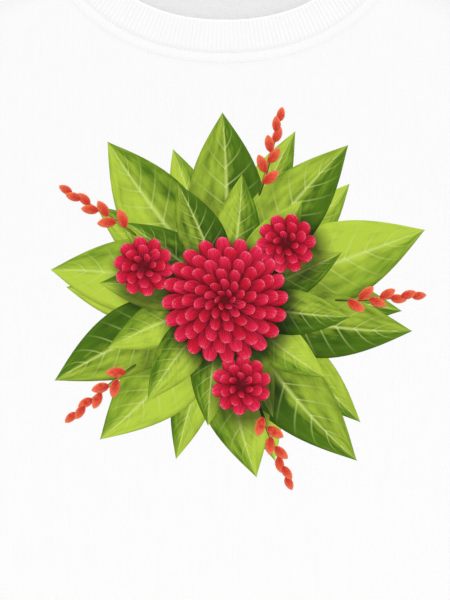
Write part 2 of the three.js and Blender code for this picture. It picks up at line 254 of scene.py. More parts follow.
def rounded(d, width):
    """A quarter ellipse: 0 at the fold and 1 from the width on."""
    return np.sqrt(1 - (1 - np.clip(d / width, 0, 1)) ** 2)


def front_height(d):
    """Middle of the front layer: it rises from its fold, then settles lower towards the centre."""
    loft = mix(EDGE_LOFT, CENTRE_LOFT, smooth(d, FRONT_ROUND, SETTLE_END))
    return FOLD_HEIGHT + loft * rounded(d, FRONT_ROUND)


def back_height(d, thickness):
    """Middle of the back layer: it drops from its fold and then lies on the surface."""
    return FOLD_HEIGHT - (FOLD_HEIGHT - thickness / 2) * rounded(d, BACK_ROUND)


# The chest and collar lie smooth: half of that area's width and height, and where it fades out
CALM_HALF = (160, 230)
CALM_FADE = (0.9, 1.35)
RESTING_HEIGHT = 5.5
RESTING_FADE = (12, 55)  # distances from a fold over which the chest comes down to that height


def calm(plan):
    """1 on the chest and collar, which lie smooth, and 0 well outside them."""
    out = (plan[..., 0] / CALM_HALF[0]) ** 4 + ((plan[..., 1] - VIEW_CENTRE_Y) / CALM_HALF[1]) ** 4
    return 1 - smooth(out**0.25, *CALM_FADE)


def rest_height(plan, d):
    """The front layer before it settles. The chest and collar lie lower than the lofted sides."""
    return mix(front_height(d), RESTING_HEIGHT, calm(plan) * smooth(d, *RESTING_FADE))


# How the front layer settles
SETTLE_STEP = 7.0
SETTLE_ROUNDS = 220
SETTLE_PASSES = 4  # draws of every thread in a round
GROWING = 0.6  # share of the rounds in which the threads reach their full length
KEPT_SPEED = 0.92
FALL = 0.012  # what gravity adds to the speed in a round
STIFFNESS = 0.4  # hold of the slanting threads and of those that span two steps
ROUGHNESS = 1.5  # height of the small bumps that the folds start from
BUMP_FADE = (5, 30)  # distances from a seam or fold over which those bumps grow to full height
LEAST_SLACK = 0.002  # below this share of slack there are no bumps
PINNED = 6.0
HELD_PAST = 2.0  # how far past the pinned strip the net still has threads

# Where the front layer has slack: the largest share, and the distances out from the centre line
# or down from the neck points over which it grows
ARM_SLACK, ARM_OUT = 0.06, (235, 285)
UNDERARM_SLACK, UNDERARM_SPOT, UNDERARM_REACH = 0.06, (262, -285), 120
HEM_SLACK, HEM_DOWN = 0.032, (430, 600)
FLANK_SLACK, FLANK_OUT, FLANK_DOWN = 0.038, (150, 240), (300, 400)
YOKE_SLACK, YOKE_OUT, YOKE_UP = 0.034, (120, 200), (-160, -60)
LEAST_ARM_SHARE = 0.35  # what the arm's smoothest parts have of its largest share

# The way in which the slack lies: out from the centre line, and up. The hem's leans the same way
# on both sides.
UNDERARM_WAY = (0.75, 0.65)
FLANK_WAY = (0.5, 1)
YOKE_WAY = (1, -0.4)
HEM_LEAN = 0.25

# The arm's slack runs at an angle, in degrees, that turns down the sleeve and strays
ARM_ANGLE, ARM_TURN, ARM_TURN_DOWN, ARM_STRAY = -52, 24, (40, 480), 22

# Uneven waves over the cloth: seed, number of waves, and shortest and longest wavelength
PATCHY = (11, 20, 120, 300)
UNEVEN = (12, 20, 120, 300)
STRAYING = (31, 12, 150, 320)
BUMPY = (5, 24, 40, 140)


def front_outline():
    """Points round the front layer: body and sleeves, without the ribbed pieces."""
    right = np.vstack([
        blouse,
        side_seam,
        sleeve_under,
        sleeve_end(-1),
        sleeve_end(1)[::-1],
        sleeve_top[::-1],
        FRONT_NECK[0].points[::-1],
    ])
    return np.vstack([right, (right * [-1, 1])[::-1]])


def inside(plan, outline):
    """True where an even-odd count of the outline's crossings puts a point inside it."""
    x, y = plan[..., 0], plan[..., 1]
    found = np.zeros(x.shape, bool)
    for (x0, y0), (x1, y1) in zip(outline, np.roll(outline, -1, axis=0)):
        if y0 != y1:
            found ^= ((y1 > y) != (y0 > y)) & (x < (x1 - x0) * (y - y0) / (y1 - y0) + x0)
    return found


class Settled:
    """The front layer's slump: how far each plan point moves as the cloth settles, on a square net.

    The net is pinned along its seams and folds and lies on the layer below. Its threads are a few
    hundredths too long, each in the direction in which wear and handling leave slack, so gravity
    and bending stiffness gather that slack into folds. Each round moves the net on by its speed,
    then draws every thread to its length, one colour of the net at a time.
    """

    def __init__(self):
        self.x = np.arange(-476, 476.1, SETTLE_STEP)
        self.y = np.arange(-632, 8, SETTLE_STEP)
        self.plan = np.stack(np.meshgrid(self.x, self.y), -1)
        self.move = np.zeros((*self.plan.shape[:2], 3))

    def slack(self):
        """Extra length at each node, as a 2 x 2 tensor's xx, xy and yy: shares along directions."""
        x, y = self.plan[..., 0], self.plan[..., 1]
        out, side = np.abs(x), np.where(x < 0, -1.0, 1.0)
        patchy, uneven = (0.5 + 0.5 * np.tanh(1.5 * hills(self.plan, *waves)) for waves in (PATCHY, UNEVEN))
        on_arm = (out > UNDERARM[0]) | ((y > UNDERARM[1]) & (out > ARM_OUT[0]))
        arm = on_arm * smooth(out, *ARM_OUT)
        stray = ARM_STRAY * hills(self.plan, *STRAYING)
        bend = np.radians(ARM_ANGLE - ARM_TURN * smooth(-y, *ARM_TURN_DOWN) + stray)
        away = (out - UNDERARM_SPOT[0]) ** 2 + (y - UNDERARM_SPOT[1]) ** 2
        under = np.exp(-away / UNDERARM_REACH**2) * (1 - arm)
        flank = smooth(out, *FLANK_OUT) * (1 - arm) * smooth(-y, *FLANK_DOWN)
        yoke = smooth(out, *YOKE_OUT) * smooth(y, *YOKE_UP)
        total = np.zeros((3, *x.shape))
        for share, across, up in (
            (ARM_SLACK * arm * (LEAST_ARM_SHARE + patchy), np.cos(bend), np.sin(bend)),
            (UNDERARM_SLACK * under, *UNDERARM_WAY),
            (HEM_SLACK * smooth(-y, *HEM_DOWN) * uneven, HEM_LEAN * side, 1),
            (FLANK_SLACK * flank * patchy, *FLANK_WAY),
            (YOKE_SLACK * yoke, *YOKE_WAY),
        ):
            across = side * across
            square = across**2 + up**2
            for entry, along in enumerate((across * across, across * up, up * up + 0 * x)):
                total[entry] += share * along / square
        return total * (1 - calm(self.plan))

    def threads(self, start, free, usable, slack):
        """The net's threads in groups that share no node, each with what it may move at both ends."""
        rows, columns = usable.shape
        spans = [(0, 1, 1.0), (1, 0, 1.0)]
        spans += [(1, 1, STIFFNESS), (1, -1, STIFFNESS)]
        spans += [(0, 2, STIFFNESS), (2, 0, STIFFNESS), (2, 2, STIFFNESS), (2, -2, STIFFNESS)]
        for (down, over, hold), colour in product(spans, (0, 1)):
            i = np.arange(rows - down)
            j = np.arange(max(0, -over), columns - max(0, over))
            if down:
                i = i[(i // down) % 2 == colour]
            else:
                j = j[(j // over) % 2 == colour]
            a, b = np.ix_(i, j), np.ix_(i + down, j + over)
            run = start[b] - start[a]
            length = np.linalg.norm(run, axis=-1)
            xx, xy, yy = (slack[:, *a] + slack[:, *b]) / 2
            ex, ey = run[..., 0] / length, run[..., 1] / length
            extra = xx * ex**2 + 2 * xy * ex * ey + yy * ey**2
            moving = np.maximum(free[a].astype(int) + free[b], 1)
            give = hold * (usable[a] & usable[b]) / moving
            yield a, b, length, extra, (give * free[a])[..., None], (give * free[b])[..., None]

    def settle(self):
        """Runs the net and keeps how far each node has moved."""
        plan = self.plan
        within = inside(plan, front_outline())
        folds = fold_distance(plan)
        seams = [distance(plan, edge) for edge in (FRONT_NECK[0], waist_seam, cuff_seam)]
        margin = np.minimum.reduce([folds, *seams])
        free = within & (margin > PINNED)
        start = np.dstack([plan, rest_height(plan, folds)])
        slack = self.slack()
        net = start.copy()
        bumps = hills(plan, *BUMPY) * smooth(margin, *BUMP_FADE) * (slack[0] + slack[2] > LEAST_SLACK)
        net[..., 2] += ROUGHNESS * bumps
        floor = np.minimum(RESTING_HEIGHT, start[..., 2])
        threads = list(self.threads(start, free, within | (margin < PINNED + HELD_PAST), slack))
        speed = np.zeros_like(net)
        for turn in range(SETTLE_ROUNDS):
            grown = min(1, turn / (GROWING * SETTLE_ROUNDS))
            speed *= KEPT_SPEED
            speed[..., 2] -= FALL
            moved = net + speed * free[..., None]
            for _ in range(SETTLE_PASSES):
                for a, b, length, extra, give_a, give_b in threads:
                    run = moved[b] - moved[a]
                    now = np.sqrt((run * run).sum(-1))
                    pull = ((now - length * (1 + grown * extra)) / now)[..., None] * run
                    moved[a] += give_a * pull
                    moved[b] -= give_b * pull
                np.maximum(moved[..., 2], floor, out=moved[..., 2])
            speed = (moved - net) * free[..., None]
            net = moved
        move = (net - start) * within[..., None]
        for axis in (0, 1):
            near = np.roll(move, 1, axis) + np.roll(move, -1, axis)
            move = mix(move, near / 2, 0.5)
        self.move = move * (1 - calm(plan))[..., None]

    def at(self, plan):
        """The move at any plan point, by cubic interpolation between the net's nodes."""
        spots = [(plan[..., k] - (self.x, self.y)[k][0]) / SETTLE_STEP for k in (0, 1)]
        limits = self.move.shape[1], self.move.shape[0]
        cells, weights = [], []
        for spot, limit in zip(spots, limits):
            cell = np.clip(np.floor(spot).astype(int), 1, limit - 3)
            t = np.clip(spot - cell, 0, 1)
            cells.append(cell)
            weights.append((
                -0.5 * t + t**2 - 0.5 * t**3,
                1 - 2.5 * t**2 + 1.5 * t**3,
                0.5 * t + 2 * t**2 - 1.5 * t**3,
                -0.5 * t**2 + 0.5 * t**3,
            ))
        total = 0
        for down in range(4):
            for over in range(4):
                node = self.move[cells[1] + down - 1, cells[0] + over - 1]
                total = total + node * (weights[1][down] * weights[0][over])[..., None]
        return total


slump = Settled()
slump.settle()


# How far the cloth strays sideways from its cut: size, then the waves' number and wavelengths
WIDE_STRAY, WIDE_WAVES, WIDE_SEEDS = 1.3, (10, 160, 420), (41, 42)
FINE_STRAY, FINE_WAVES, FINE_SEEDS = 0.4, (14, 45, 110), (43, 44)

# Small folds that a ribbed band draws up: height, seed, pitch along the seam and reach from it
CUFF_GATHERS = ((0.9, 71, 19, 70), (0.3, 73, 12, 32))
WAIST_GATHERS = ((1.1, 61, 27, 85), (0.4, 63, 16, 36))
GATHER_WAVES = 8
GATHER_WANDER = 0.35  # how far their crests wander along the seam, as a share of the pitch
GATHER_VARIES = 0.3  # share of their height that changes from one to another
GATHER_START = 1  # how far from the seam they start
GATHER_RISE, GATHER_FALL = 0.16, 0.18  # shares of the reach up to which they rise and where they fall
GATHER_FADE = (2, 22)  # distances from a fold over which they grow to full height
CUFF_SHIFT = 500  # takes the two cuffs to different stretches of the same waves


def drift(plan):
    """How far the cloth strays sideways from its cut: soft waves of a few millimetres."""
    wide = np.stack([hills(plan, seed, *WIDE_WAVES) for seed in WIDE_SEEDS], -1)
    fine = np.stack([hills(plan, seed, *FINE_WAVES) for seed in FINE_SEEDS], -1)
    return (1 - calm(plan))[..., None] * (WIDE_STRAY * wide + FINE_STRAY * fine)


def gathers(along, away, waves):
    """Small folds above a seam: sine waves along it, of uneven pitch and size, that die out."""
    total = 0
    for height, seed, pitch, reach in waves:
        wander = hills(np.stack([along, 0.4 * away], -1), seed, GATHER_WAVES, 3 * pitch, 7 * pitch)
        size = hills(np.stack([along, away], -1), seed + 1, GATHER_WAVES, 4 * pitch, 10 * pitch)
        wave = np.sin(2 * np.pi * (along / pitch + GATHER_WANDER * wander))
        ends = smooth(away, GATHER_START, GATHER_RISE * reach)
        ends = ends * (1 - smooth(away, GATHER_FALL * reach, reach))
        total = total + height * wave * mix(1, size, GATHER_VARIES) * ends
    return total


def gathered(plan, d):
    """Height of the small folds above the waistband and the cuffs, at a distance from the fold."""
    out = np.abs(plan[..., 0])
    from_cuff = np.stack([out, plan[..., 1]], -1) - CUFF_SEAM
    along_cuff = from_cuff @ ACROSS_CUFF + CUFF_SHIFT * np.sign(plan[..., 0])
    cuff = gathers(along_cuff, -(from_cuff @ ALONG_CUFF), CUFF_GATHERS)
    waist = gathers(plan[..., 0], plan[..., 1] - WAIST_SEAM_Y, WAIST_GATHERS)
    on_sleeve = out > UNDERARM[0] + 20
    return np.where(out < UNDERARM[0], waist, cuff * on_sleeve) * smooth(d, *GATHER_FADE)


def on_front(plan):
    """Middle-surface points of the front layer over plan points."""
    move = slump.at(plan)
    d = fold_distance(plan)
    height = rest_height(plan, d) + gathered(plan, d) + move[..., 2]
    return np.concatenate([plan + drift(plan) + move[..., :2], height[..., None]], -1)


def on_back(plan, thickness=FLEECE):
    """Middle-surface points of the back layer over plan points."""
    height = back_height(fold_distance(plan), thickness)
    return np.concatenate([plan + drift(plan), height[..., None]], -1)


def lifted(layer, plan, lift):
    """Points at a lift above a layer's middle surface, with its upward normals.

    The normal is the cross product of the surface's steps along x and along y."""
    step = 0.3
    middle = layer(plan)
    east = layer(plan + [step, 0]) - layer(plan - [step, 0])
    north = layer(plan + [0, step]) - layer(plan - [0, step])
    normal = np.cross(east, north)
    normal /= np.linalg.norm(normal, axis=-1, keepdims=True)
    return middle + normal * np.asarray(lift)[..., None], normal


def in_frame(points):
    """Millimetres in the cut's plan to metres in the frame."""
    return (points + [0, PATTERN_Y, 0]) * MM


def quads_of(index):
    """Quads between the neighbours of a grid of point numbers."""
    return np.stack([index[:-1, :-1], index[:-1, 1:], index[1:, 1:], index[1:, :-1]], -1).reshape(-1, 4)


def grid_faces(rows, columns, ring=False):
    """Quads of points numbered row by row. The columns of a ring close on themselves."""
    index = np.arange(rows * columns).reshape(rows, columns)
    return quads_of(np.hstack([index, index[:, :1]]) if ring else index)


def normals_of(points, faces):
    """Unit sums of the area vectors of the faces round each point."""
    corner = points[faces]
    area = np.cross(corner[:, 2] - corner[:, 0], corner[:, 3] - corner[:, 1])
    spots = faces.ravel()
    total = np.stack([np.bincount(spots, np.repeat(a, 4), len(points)) for a in area.T], -1)
    return total / np.maximum(np.linalg.norm(total, axis=1, keepdims=True), 1e-12)


def thickened(points, faces, outer, inner):
    """A closed shell: the points moved out and in along their normals and joined round each rim.

    A rim runs where a quad's edge has no neighbour that runs the other way. Returns the points,
    the quads, and which of the quads look inwards."""
    normals = normals_of(points, faces)
    count = len(points)
    shell = np.vstack([
        points + normals * np.reshape(outer, (-1, 1)),
        points - normals * np.reshape(inner, (-1, 1)),
    ])
    start, end = faces.ravel(), np.roll(faces, -1, axis=1).ravel()
    open_rim = ~np.isin(start * count + end, end * count + start)
    rim = np.stack([end, start, start + count, end + count], -1)[open_rim]
    looks_in = np.repeat([False, True, False], [len(faces), len(faces), len(rim)])
    return shell, np.vstack([faces, faces[:, ::-1] + count, rim]), looks_in


def piece(name, slot, stands_for, points, faces, uv, finishes, which=0, turn=None, **levels):
    """A mesh object of quads, with metres of cloth as its UV map and a value a point as attributes.

    It takes the place of the nodes that it stands for. A shell's two faces share the UV of the one
    surface that is given. On a ring, turn is the u of one whole turn, which the quads that close
    the ring go up to."""
    mesh = bpy.data.meshes.new(name)
    mesh.vertices.add(len(points))
    mesh.vertices.foreach_set("co", in_frame(points).astype(np.float32).ravel())
    mesh.loops.add(faces.size)
    mesh.loops.foreach_set("vertex_index", faces.astype(np.int32).ravel())
    mesh.polygons.add(len(faces))
    mesh.polygons.foreach_set("loop_start", np.arange(0, faces.size, 4, dtype=np.int32))
    for finish in finishes:
        mesh.materials.append(finish)
    mesh.update(calc_edges=True)
    mesh.polygons.foreach_set("material_index", np.broadcast_to(which, len(faces)).astype(np.int32))
    mesh.shade_smooth()
    layers = len(points) // len(uv)
    corners = np.tile(uv, (layers, 1))[faces]
    if turn:
        behind = corners[..., :1].max(1, keepdims=True) - corners[..., :1] > turn / 2
        corners = corners + behind * [turn, 0]
    mesh.uv_layers.new(name="Cloth").data.foreach_set("uv", corners.astype(np.float32).ravel())
    for label, values in levels.items():
        attribute = mesh.attributes.new(label, "FLOAT", "POINT")
        attribute.data.foreach_set("value", np.tile(values, layers).astype(np.float32))
    body = bpy.data.objects.new(name, mesh)
    bpy.context.scene.collection.objects.link(body)
    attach(body, "root")
    if stands_for:
        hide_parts(*stands_for)
    return body


def crowded(even, tail, share, first_tail=0, first_share=0.0):
    """Shares from 0 to 1 whose steps shrink as a sine over the last share, and over the first."""
    start = first_share * (1 - np.sin(np.linspace(np.pi / 2, 0, first_tail + 1)))
    middle = np.linspace(first_share, 1 - share, even)[1:-1]
    end = 1 - share + share * np.sin(np.linspace(0, np.pi / 2, tail + 1))
    return np.concatenate([start, middle, end])


def mirrored(plan, side):
    """Plan points of the right half, turned over to the left half where side is below 0."""
    return plan * np.stack([np.where(side < 0, -1.0, 1.0), np.ones_like(side)], -1)


def patch(bottom, top, left, right):
    """Coons patch: both ruled surfaces between opposite edges, less the bilinear one."""
    def plan(u, v):
        u, v = np.broadcast_arrays(u, v)
        a, b = u[..., None], v[..., None]
        ruled = mix(bottom(u), top(u), b) + mix(left(v), right(v), a)
        corners = mix(mix(bottom(0.0), bottom(1.0), a), mix(top(0.0), top(1.0), a), b)
        return ruled - corners
    return plan


def joined(first, second, join):
    """Two curves end to end as one, with the join at a share of the whole parameter."""
    def at(share):
        share = np.asarray(share, float)
        early = first(np.minimum(share / join, 1))
        late = second(np.maximum((share - join) / (1 - join), 0))
        return np.where((share <= join)[..., None], early, late)
    return at


# Relief of the seams, by distance from the seam line
STITCH_LINE = 6.0
STITCH_GROOVE = 0.04
AT_SEAM = 0.45  # share of the raised band's height that is left at the seam
BAND_RISE, BAND_FALL = (0, 4), (4.4, 8.4)
SEAM_PUFF = 0.2

# How far the band rises at the neck, the armhole and the waistband. The back lies flat on the
# surface, so only the grooves of its stitches show, at the neck and the armhole.
FRONT_PUFFS = (0.21, 0.25, SEAM_PUFF)
BACK_PUFFS = (0, 0)


def seam_relief(d, puff):
    """A raised band over the seam's turned-in edge, lower at the seam, with a groove at the stitches."""
    band = puff * mix(AT_SEAM, 1, smooth(d, *BAND_RISE)) * (1 - smooth(d, *BAND_FALL))
    return band - STITCH_GROOVE * bell(d, STITCH_LINE, 0.75)


# Distances from a seam at which the mesh has a row or column of points
SEAM_STEPS = np.array([
    0, 0.35, 0.7, 1.1, 1.6, 2.3, 3.1, 3.9, 4.6, 5.1, 5.5, 5.9, 6.3, 6.7, 7.2, 8, 9.4, 11.5, 14.5
])


def seamed(length, step, at_both=False):
    """Shares of a length: close steps at a seam at 0, then even ones. The end may be a seam too."""
    end = length - SEAM_STEPS[::-1] if at_both else np.array([length])
    count = int(round((end[0] - SEAM_STEPS[-1]) / step))
    return np.concatenate([SEAM_STEPS, np.linspace(SEAM_STEPS[-1], end[0], count + 1)[1:-1], end]) / length


# Where a panel's edges join, as shares, and where its rows and columns lie
NECK_SHARE = 0.55
SIDE_SHARE = 0.6
BLOUSE_SHARE = 0.08
NECK_STRIP = 30  # width of the strip along the neckline that has rows of its own
PANEL_HEIGHT = -FRONT_NECK_DROP - NECK_STRIP - WAIST_SEAM_Y
FOLD_ROWS = 1 - 0.07 * (1 - np.sin(np.linspace(0, np.pi / 2, 15)))
NECK_COLUMNS = crowded(50, 10, 0.12) * NECK_SHARE
SHOULDER_COLUMNS = 1 - (1 - NECK_SHARE) * seamed((1 - NECK_SHARE) * UNDERARM[0], 2.7)[::-1]
SEAMED_ROWS = seamed(PANEL_HEIGHT, 4.2)
PANEL_ROWS = np.union1d(SEAMED_ROWS[SEAMED_ROWS < FOLD_ROWS[0] - 0.002], [*FOLD_ROWS, SIDE_SHARE])
STRIP_ROWS = 1 - seamed(NECK_STRIP, 2.6)[::-1]


def body_plan(neck):
    """Plan points and quads of a body panel, both halves.

    Below the strip, u runs from the centre line to the side seam and armhole, and v from the
    waistband seam up to the strip and the shoulder. The strip's rows follow the neckline."""
    past_strip = Edge([near_neck(neck, 1.0, -NECK_STRIP), SHOULDER_TIP])
    side = joined(Edge(blouse).at, Edge(side_seam).at, BLOUSE_SHARE)
    half = patch(
        waist_seam.at,
        joined(lambda t: near_neck(neck, t, -NECK_STRIP + 0 * t), past_strip.at, NECK_SHARE),
        Edge([(0, WAIST_SEAM_Y), near_neck(neck, 0.0, -NECK_STRIP)]).at,
        joined(side, armhole.at, SIDE_SHARE),
    )
    columns = np.concatenate([NECK_COLUMNS, SHOULDER_COLUMNS[1:]])
    columns = np.concatenate([-columns[:0:-1], columns])
    u, v = np.meshgrid(columns, PANEL_ROWS)
    main = mirrored(half(np.abs(u), v), u)
    neck_columns = columns[np.abs(columns) <= NECK_SHARE + 1e-9]
    reach = -NECK_STRIP + (NECK_STRIP + SEAM_TUCK) * STRIP_ROWS[1:]
    t, r = np.meshgrid(neck_columns / NECK_SHARE, reach)
    strip = mirrored(near_neck(neck, np.abs(t), r), t)
    first = len(columns) * (len(PANEL_ROWS) - 1) + len(SHOULDER_COLUMNS) - 1
    shared = first + np.arange(len(neck_columns))
    index = np.vstack([shared, np.arange(t.size).reshape(t.shape) + u.size])
    faces = np.vstack([grid_faces(*u.shape), quads_of(index)])
    return np.vstack([main.reshape(-1, 2), strip.reshape(-1, 2)]), faces


def body_panel(name, neck, layer, facing, puffs):
    """Front or back of the body, with its outer face up where facing is 1 and down where it is -1."""
    plan, faces = body_plan(neck)
    middle = layer(plan)
    middle[:, 2] = facing * np.maximum(facing * middle[:, 2], facing * FOLD_HEIGHT + SHEET_GAP / 2)
    from_seams = (distance(plan, neck[0]), distance(plan, armhole), plan[:, 1] - WAIST_SEAM_Y)
    outer = FLEECE / 2 + sum(seam_relief(d, puff) for d, puff in zip(from_seams, puffs))
    shell, quads, inward = thickened(middle, faces[:, ::facing], outer, FLEECE / 2)
    finishes = [fleece_face, fleece_back]
    return piece(f"{name}_cloth", "fleece", [name], shell, quads, plan * MM, finishes, inward)


EDGE_THICKNESS = 0.12  # least share of the thickness that a rolled edge keeps


def rim_share(d, radius):
    """Share of the thickness that is left at a distance from a rolled edge."""
    return np.maximum(rounded(d, radius), EDGE_THICKNESS)


# Where a sleeve's rows and columns lie, and where its edges join, as shares
SLEEVE_COLUMNS = (1 - np.cos(np.pi * np.linspace(0, 1, 73))) / 2
SLEEVE_LENGTH = 500
SLEEVE_ROWS = seamed(SLEEVE_LENGTH, 4.4, at_both=True)
UNDERARM_GROOVE, GROOVE_STEPS = 0.35, 1.2  # depth in millimetres, and half width in columns
UNDERARM_SHARE = 0.12
SLEEVE_END_SHARE = 0.95
INSIDE_BODY = UNDERARM + [-55, 28]


def sleeve_plan():
    """Plan points of the right sleeve: u from the top fold to the underarm seam, v down to the cuff.

    The patch starts inside the body. Each column is then read only from where it crosses the
    armhole, which is found along 400 samples of it."""
    top = joined(Edge(sleeve_top).at, Edge(sleeve_end(1)).at, SLEEVE_END_SHARE)
    end_share = (SLEEVE_END_SHARE - UNDERARM_SHARE) / (1 - UNDERARM_SHARE)
    below = joined(Edge(sleeve_under).at, Edge(sleeve_end(-1)).at, end_share)
    under = joined(Edge([INSIDE_BODY, UNDERARM]).at, below, UNDERARM_SHARE)
    body_side = Edge(bezier(SHOULDER_TIP, (212, -130), (205, -220), INSIDE_BODY))
    whole = patch(body_side.at, cuff_seam.at, top, under)
    samples = np.linspace(0, 0.4, 400)
    probe = whole(SLEEVE_COLUMNS[None, :], samples[:, None])
    past = probe[..., 0] - np.interp(probe[..., 1], armhole.points[:, 1], armhole.points[:, 0])
    after = np.argmax(past > 1e-9, axis=0)
    column = np.arange(len(SLEEVE_COLUMNS))
    before = np.maximum(after - 1, 0)
    low, high = past[before, column], past[after, column]
    start = mix(samples[before], samples[after], np.clip(-low / np.maximum(high - low, 1e-9), 0, 1))
    v = mix(start[None, :], 1.0, SLEEVE_ROWS[:, None])
    return whole(SLEEVE_COLUMNS[None, :], v)


def both_layers(front, back):
    """Columns of a tube: across the front layer, then back across the back layer.

    The outermost columns lie on the folds and belong to both."""
    return np.concatenate([front, back[:, -2:0:-1]], axis=1)


def sleeve(side, sign):
    """One sleeve as a tube of cloth. The left arm of the wearer is at positive x."""
    plan = sleeve_plan() * [sign, 1]
    middle = both_layers(on_front(plan), on_back(plan))
    flat = both_layers(plan, plan).reshape(-1, 2)
    rows, columns = middle.shape[:2]
    faces = grid_faces(rows, columns, ring=True)[:, ::sign]
    relief = sum(seam_relief(distance(flat, seam), SEAM_PUFF) for seam in (armhole, cuff_seam))
    off_floor = smooth(middle[..., 2].ravel(), FLEECE / 2, FOLD_HEIGHT)
    outer = FLEECE / 2 + np.minimum(relief, relief * off_floor)
    from_underarm = np.abs(np.arange(columns) - (len(SLEEVE_COLUMNS) - 1.0))
    outer -= UNDERARM_GROOVE * bell(np.tile(from_underarm, rows), 0, GROOVE_STEPS)
    closed = np.concatenate([middle, middle[:, :1]], axis=1)
    over = np.cumsum(np.linalg.norm(np.diff(closed, axis=1), axis=2).mean(0))
    down = np.cumsum(np.linalg.norm(np.diff(middle, axis=0), axis=2).mean(1))
    u, v = np.meshgrid(np.concatenate([[0], over[:-1]]), np.concatenate([[0], down]))
    uv = np.stack([u, v], -1).reshape(-1, 2) * MM
    shell, quads, inward = thickened(middle.reshape(-1, 3), faces, outer, FLEECE / 2)
    nodes = [f"sleeve_{side}_front", f"sleeve_{side}_back"]
    finishes = [fleece_face, fleece_back]
    return piece(f"sleeve_{side}_cloth", "fleece", nodes, shell, quads, uv, finishes, inward, over[-1] * MM)


def round_reach(middle, samples=6000):
    """Parameters round a closed loop, with its true length up to each."""
    w = np.linspace(0, 1, samples + 1)
    steps = np.linalg.norm(np.diff(middle(w), axis=0), axis=1)
    return w, np.concatenate([[0], np.cumsum(steps)])


def ribbed(name, middle, depth_rows, width, pitch, samples, relief, flip=False):
    """A ribbed tube: middle(w, r) goes round it by w, and from its seam to its free edge by r.

    Ribs are rounded ridges with narrow valleys, 1 - |cos|^3 of the angle round each. The free edge
    is rolled, so the half thickness falls there as a quarter ellipse. The seam's edge is pressed."""
    w, reach = round_reach(lambda w: middle(w, np.full_like(w, width / 2)))
    ribs = int(round(reach[-1] / pitch))
    count = ribs * samples
    w = np.interp(np.arange(count) / count * reach[-1], reach, w)
    grid_w, grid_r = np.meshgrid(w, width * depth_rows)
    points = middle(grid_w.ravel(), grid_r.ravel())
    phase = np.tile(np.arange(count) / samples, len(depth_rows))
    from_seam, to_edge = grid_r.ravel(), width - grid_r.ravel()
    ridge = 1 - np.abs(np.cos(np.pi * phase)) ** 3
    ends = mix(SEAM_THICKNESS, 1, smooth(from_seam, *PRESSED)) * rim_share(to_edge, RIB / 2)
    raised = relief * (ridge - 0.5) * smooth(from_seam, *RIB_START) * smooth(to_edge, *RIB_END)
    faces = grid_faces(len(depth_rows), count, ring=True)[:, ::-1 if flip else 1]
    half = RIB / 2 * ends
    shell, quads, _ = thickened(points, faces, half + raised, half + INNER_RIB * raised)
    uv = np.stack([phase * RIB_PITCH, grid_r.ravel()], -1) * MM
    turn = ribs * RIB_PITCH * MM
    return piece(f"{name}_rib", "rib", [name], shell, quads, uv, [rib_knit], turn=turn)


def neckband_middle(w, r):
    """Round the neck: from the front centre over one neck point, along the back, and home."""
    quarter = 4 * np.mod(w, 1)
    share = 1 - np.abs(1 - np.mod(quarter, 2))
    side = np.where(quarter < 2, 1.0, -1.0)
    over, under = (mirrored(near_neck(neck, share, r), side) for neck in (FRONT_NECK, BACK_NECK))
    at_back = (quarter > 1) & (quarter < 3)
    return np.where(at_back[:, None], on_back(under, RIB + RIB_RELIEF), on_front(over))


def tube_middle(plan):
    """Middle surface of a flat tube whose two layers share one plan, with u from fold to fold."""
    def middle(w, r):
        turn = 2 * np.mod(w, 1)
        u = 1 - np.abs(1 - turn)
        where = plan((1 - np.cos(np.pi * u)) / 2, r)
        return np.where((turn > 1)[:, None], on_back(where, RIB + RIB_RELIEF), on_front(where))
    return middle


def cuff_plan(sign):
    """Plan of a cuff: u from its outer fold to its inner one, r down from the cuff seam."""
    def plan(u, r):
        half = mix(CUFF_SEAM_HALF, CUFF_END_HALF, r / CUFF_LENGTH)
        where = CUFF_SEAM + r[:, None] * ALONG_CUFF + (half * (1 - 2 * u))[:, None] * ACROSS_CUFF
        return where * [sign, 1]
    return plan


def waistband_plan(u, r):
    """Plan of the waistband: u from one side fold to the other, r down from the waistband seam."""
    half = mix(WAIST_SEAM_HALF, HEM_HALF, r / (WAIST_SEAM_Y - HEM_Y))
    return np.stack([half * (2 * u - 1), WAIST_SEAM_Y - r], -1)


RIB_RELIEF = 0.4
RIB_PITCH = 2.5
HEM_RIB_PITCH = 3.0
INNER_RIB = 0.6  # height of the ribs on the inner face, as a share of the outer face's
SEAM_THICKNESS = 0.79  # share of a ribbed band's thickness that is left at its seam
PRESSED = (0, 2.0)  # distances from the seam over which the thickness comes back
RIB_START, RIB_END = (0.3, 2.0), (0.4, 1.8)  # the same for the ribs, from the seam and the free edge


def ribbed_bands():
    """Neckband, cuffs and waistband, each with where its rows lie and how high its ribs are."""
    neck_rows = crowded(12, 6, 0.1, 5, 0.1)
    cuff_rows = crowded(22, 6, 0.03, 5, 0.04)
    hem_rows = crowded(10, 6, 0.03, 4, 0.04)
    left, right = (tube_middle(cuff_plan(sign)) for sign in (1, -1))
    hem, hem_width = tube_middle(waistband_plan), WAIST_SEAM_Y - HEM_Y
    return [
        ribbed("neckband", neckband_middle, neck_rows, NECKBAND_WIDTH, RIB_PITCH, 6, 0.19),
        ribbed("cuff_left", left, cuff_rows, CUFF_LENGTH, RIB_PITCH, 6, 0.36),
        ribbed("cuff_right", right, cuff_rows, CUFF_LENGTH, RIB_PITCH, 6, 0.36, flip=True),
        ribbed("waistband", hem, hem_rows, hem_width, HEM_RIB_PITCH, 5, 0.38, flip=True),
    ]


# Neck tape
TAPE_WIDTH = 10
TAPE_SETBACK = 1.5
TAPE_HALF_ARC = 0.86
TAPE_CLEARANCE = 0.05  # between the tape and the cloth under it
TAPE_ROLL = 0.5  # width over which the tape's edges round off


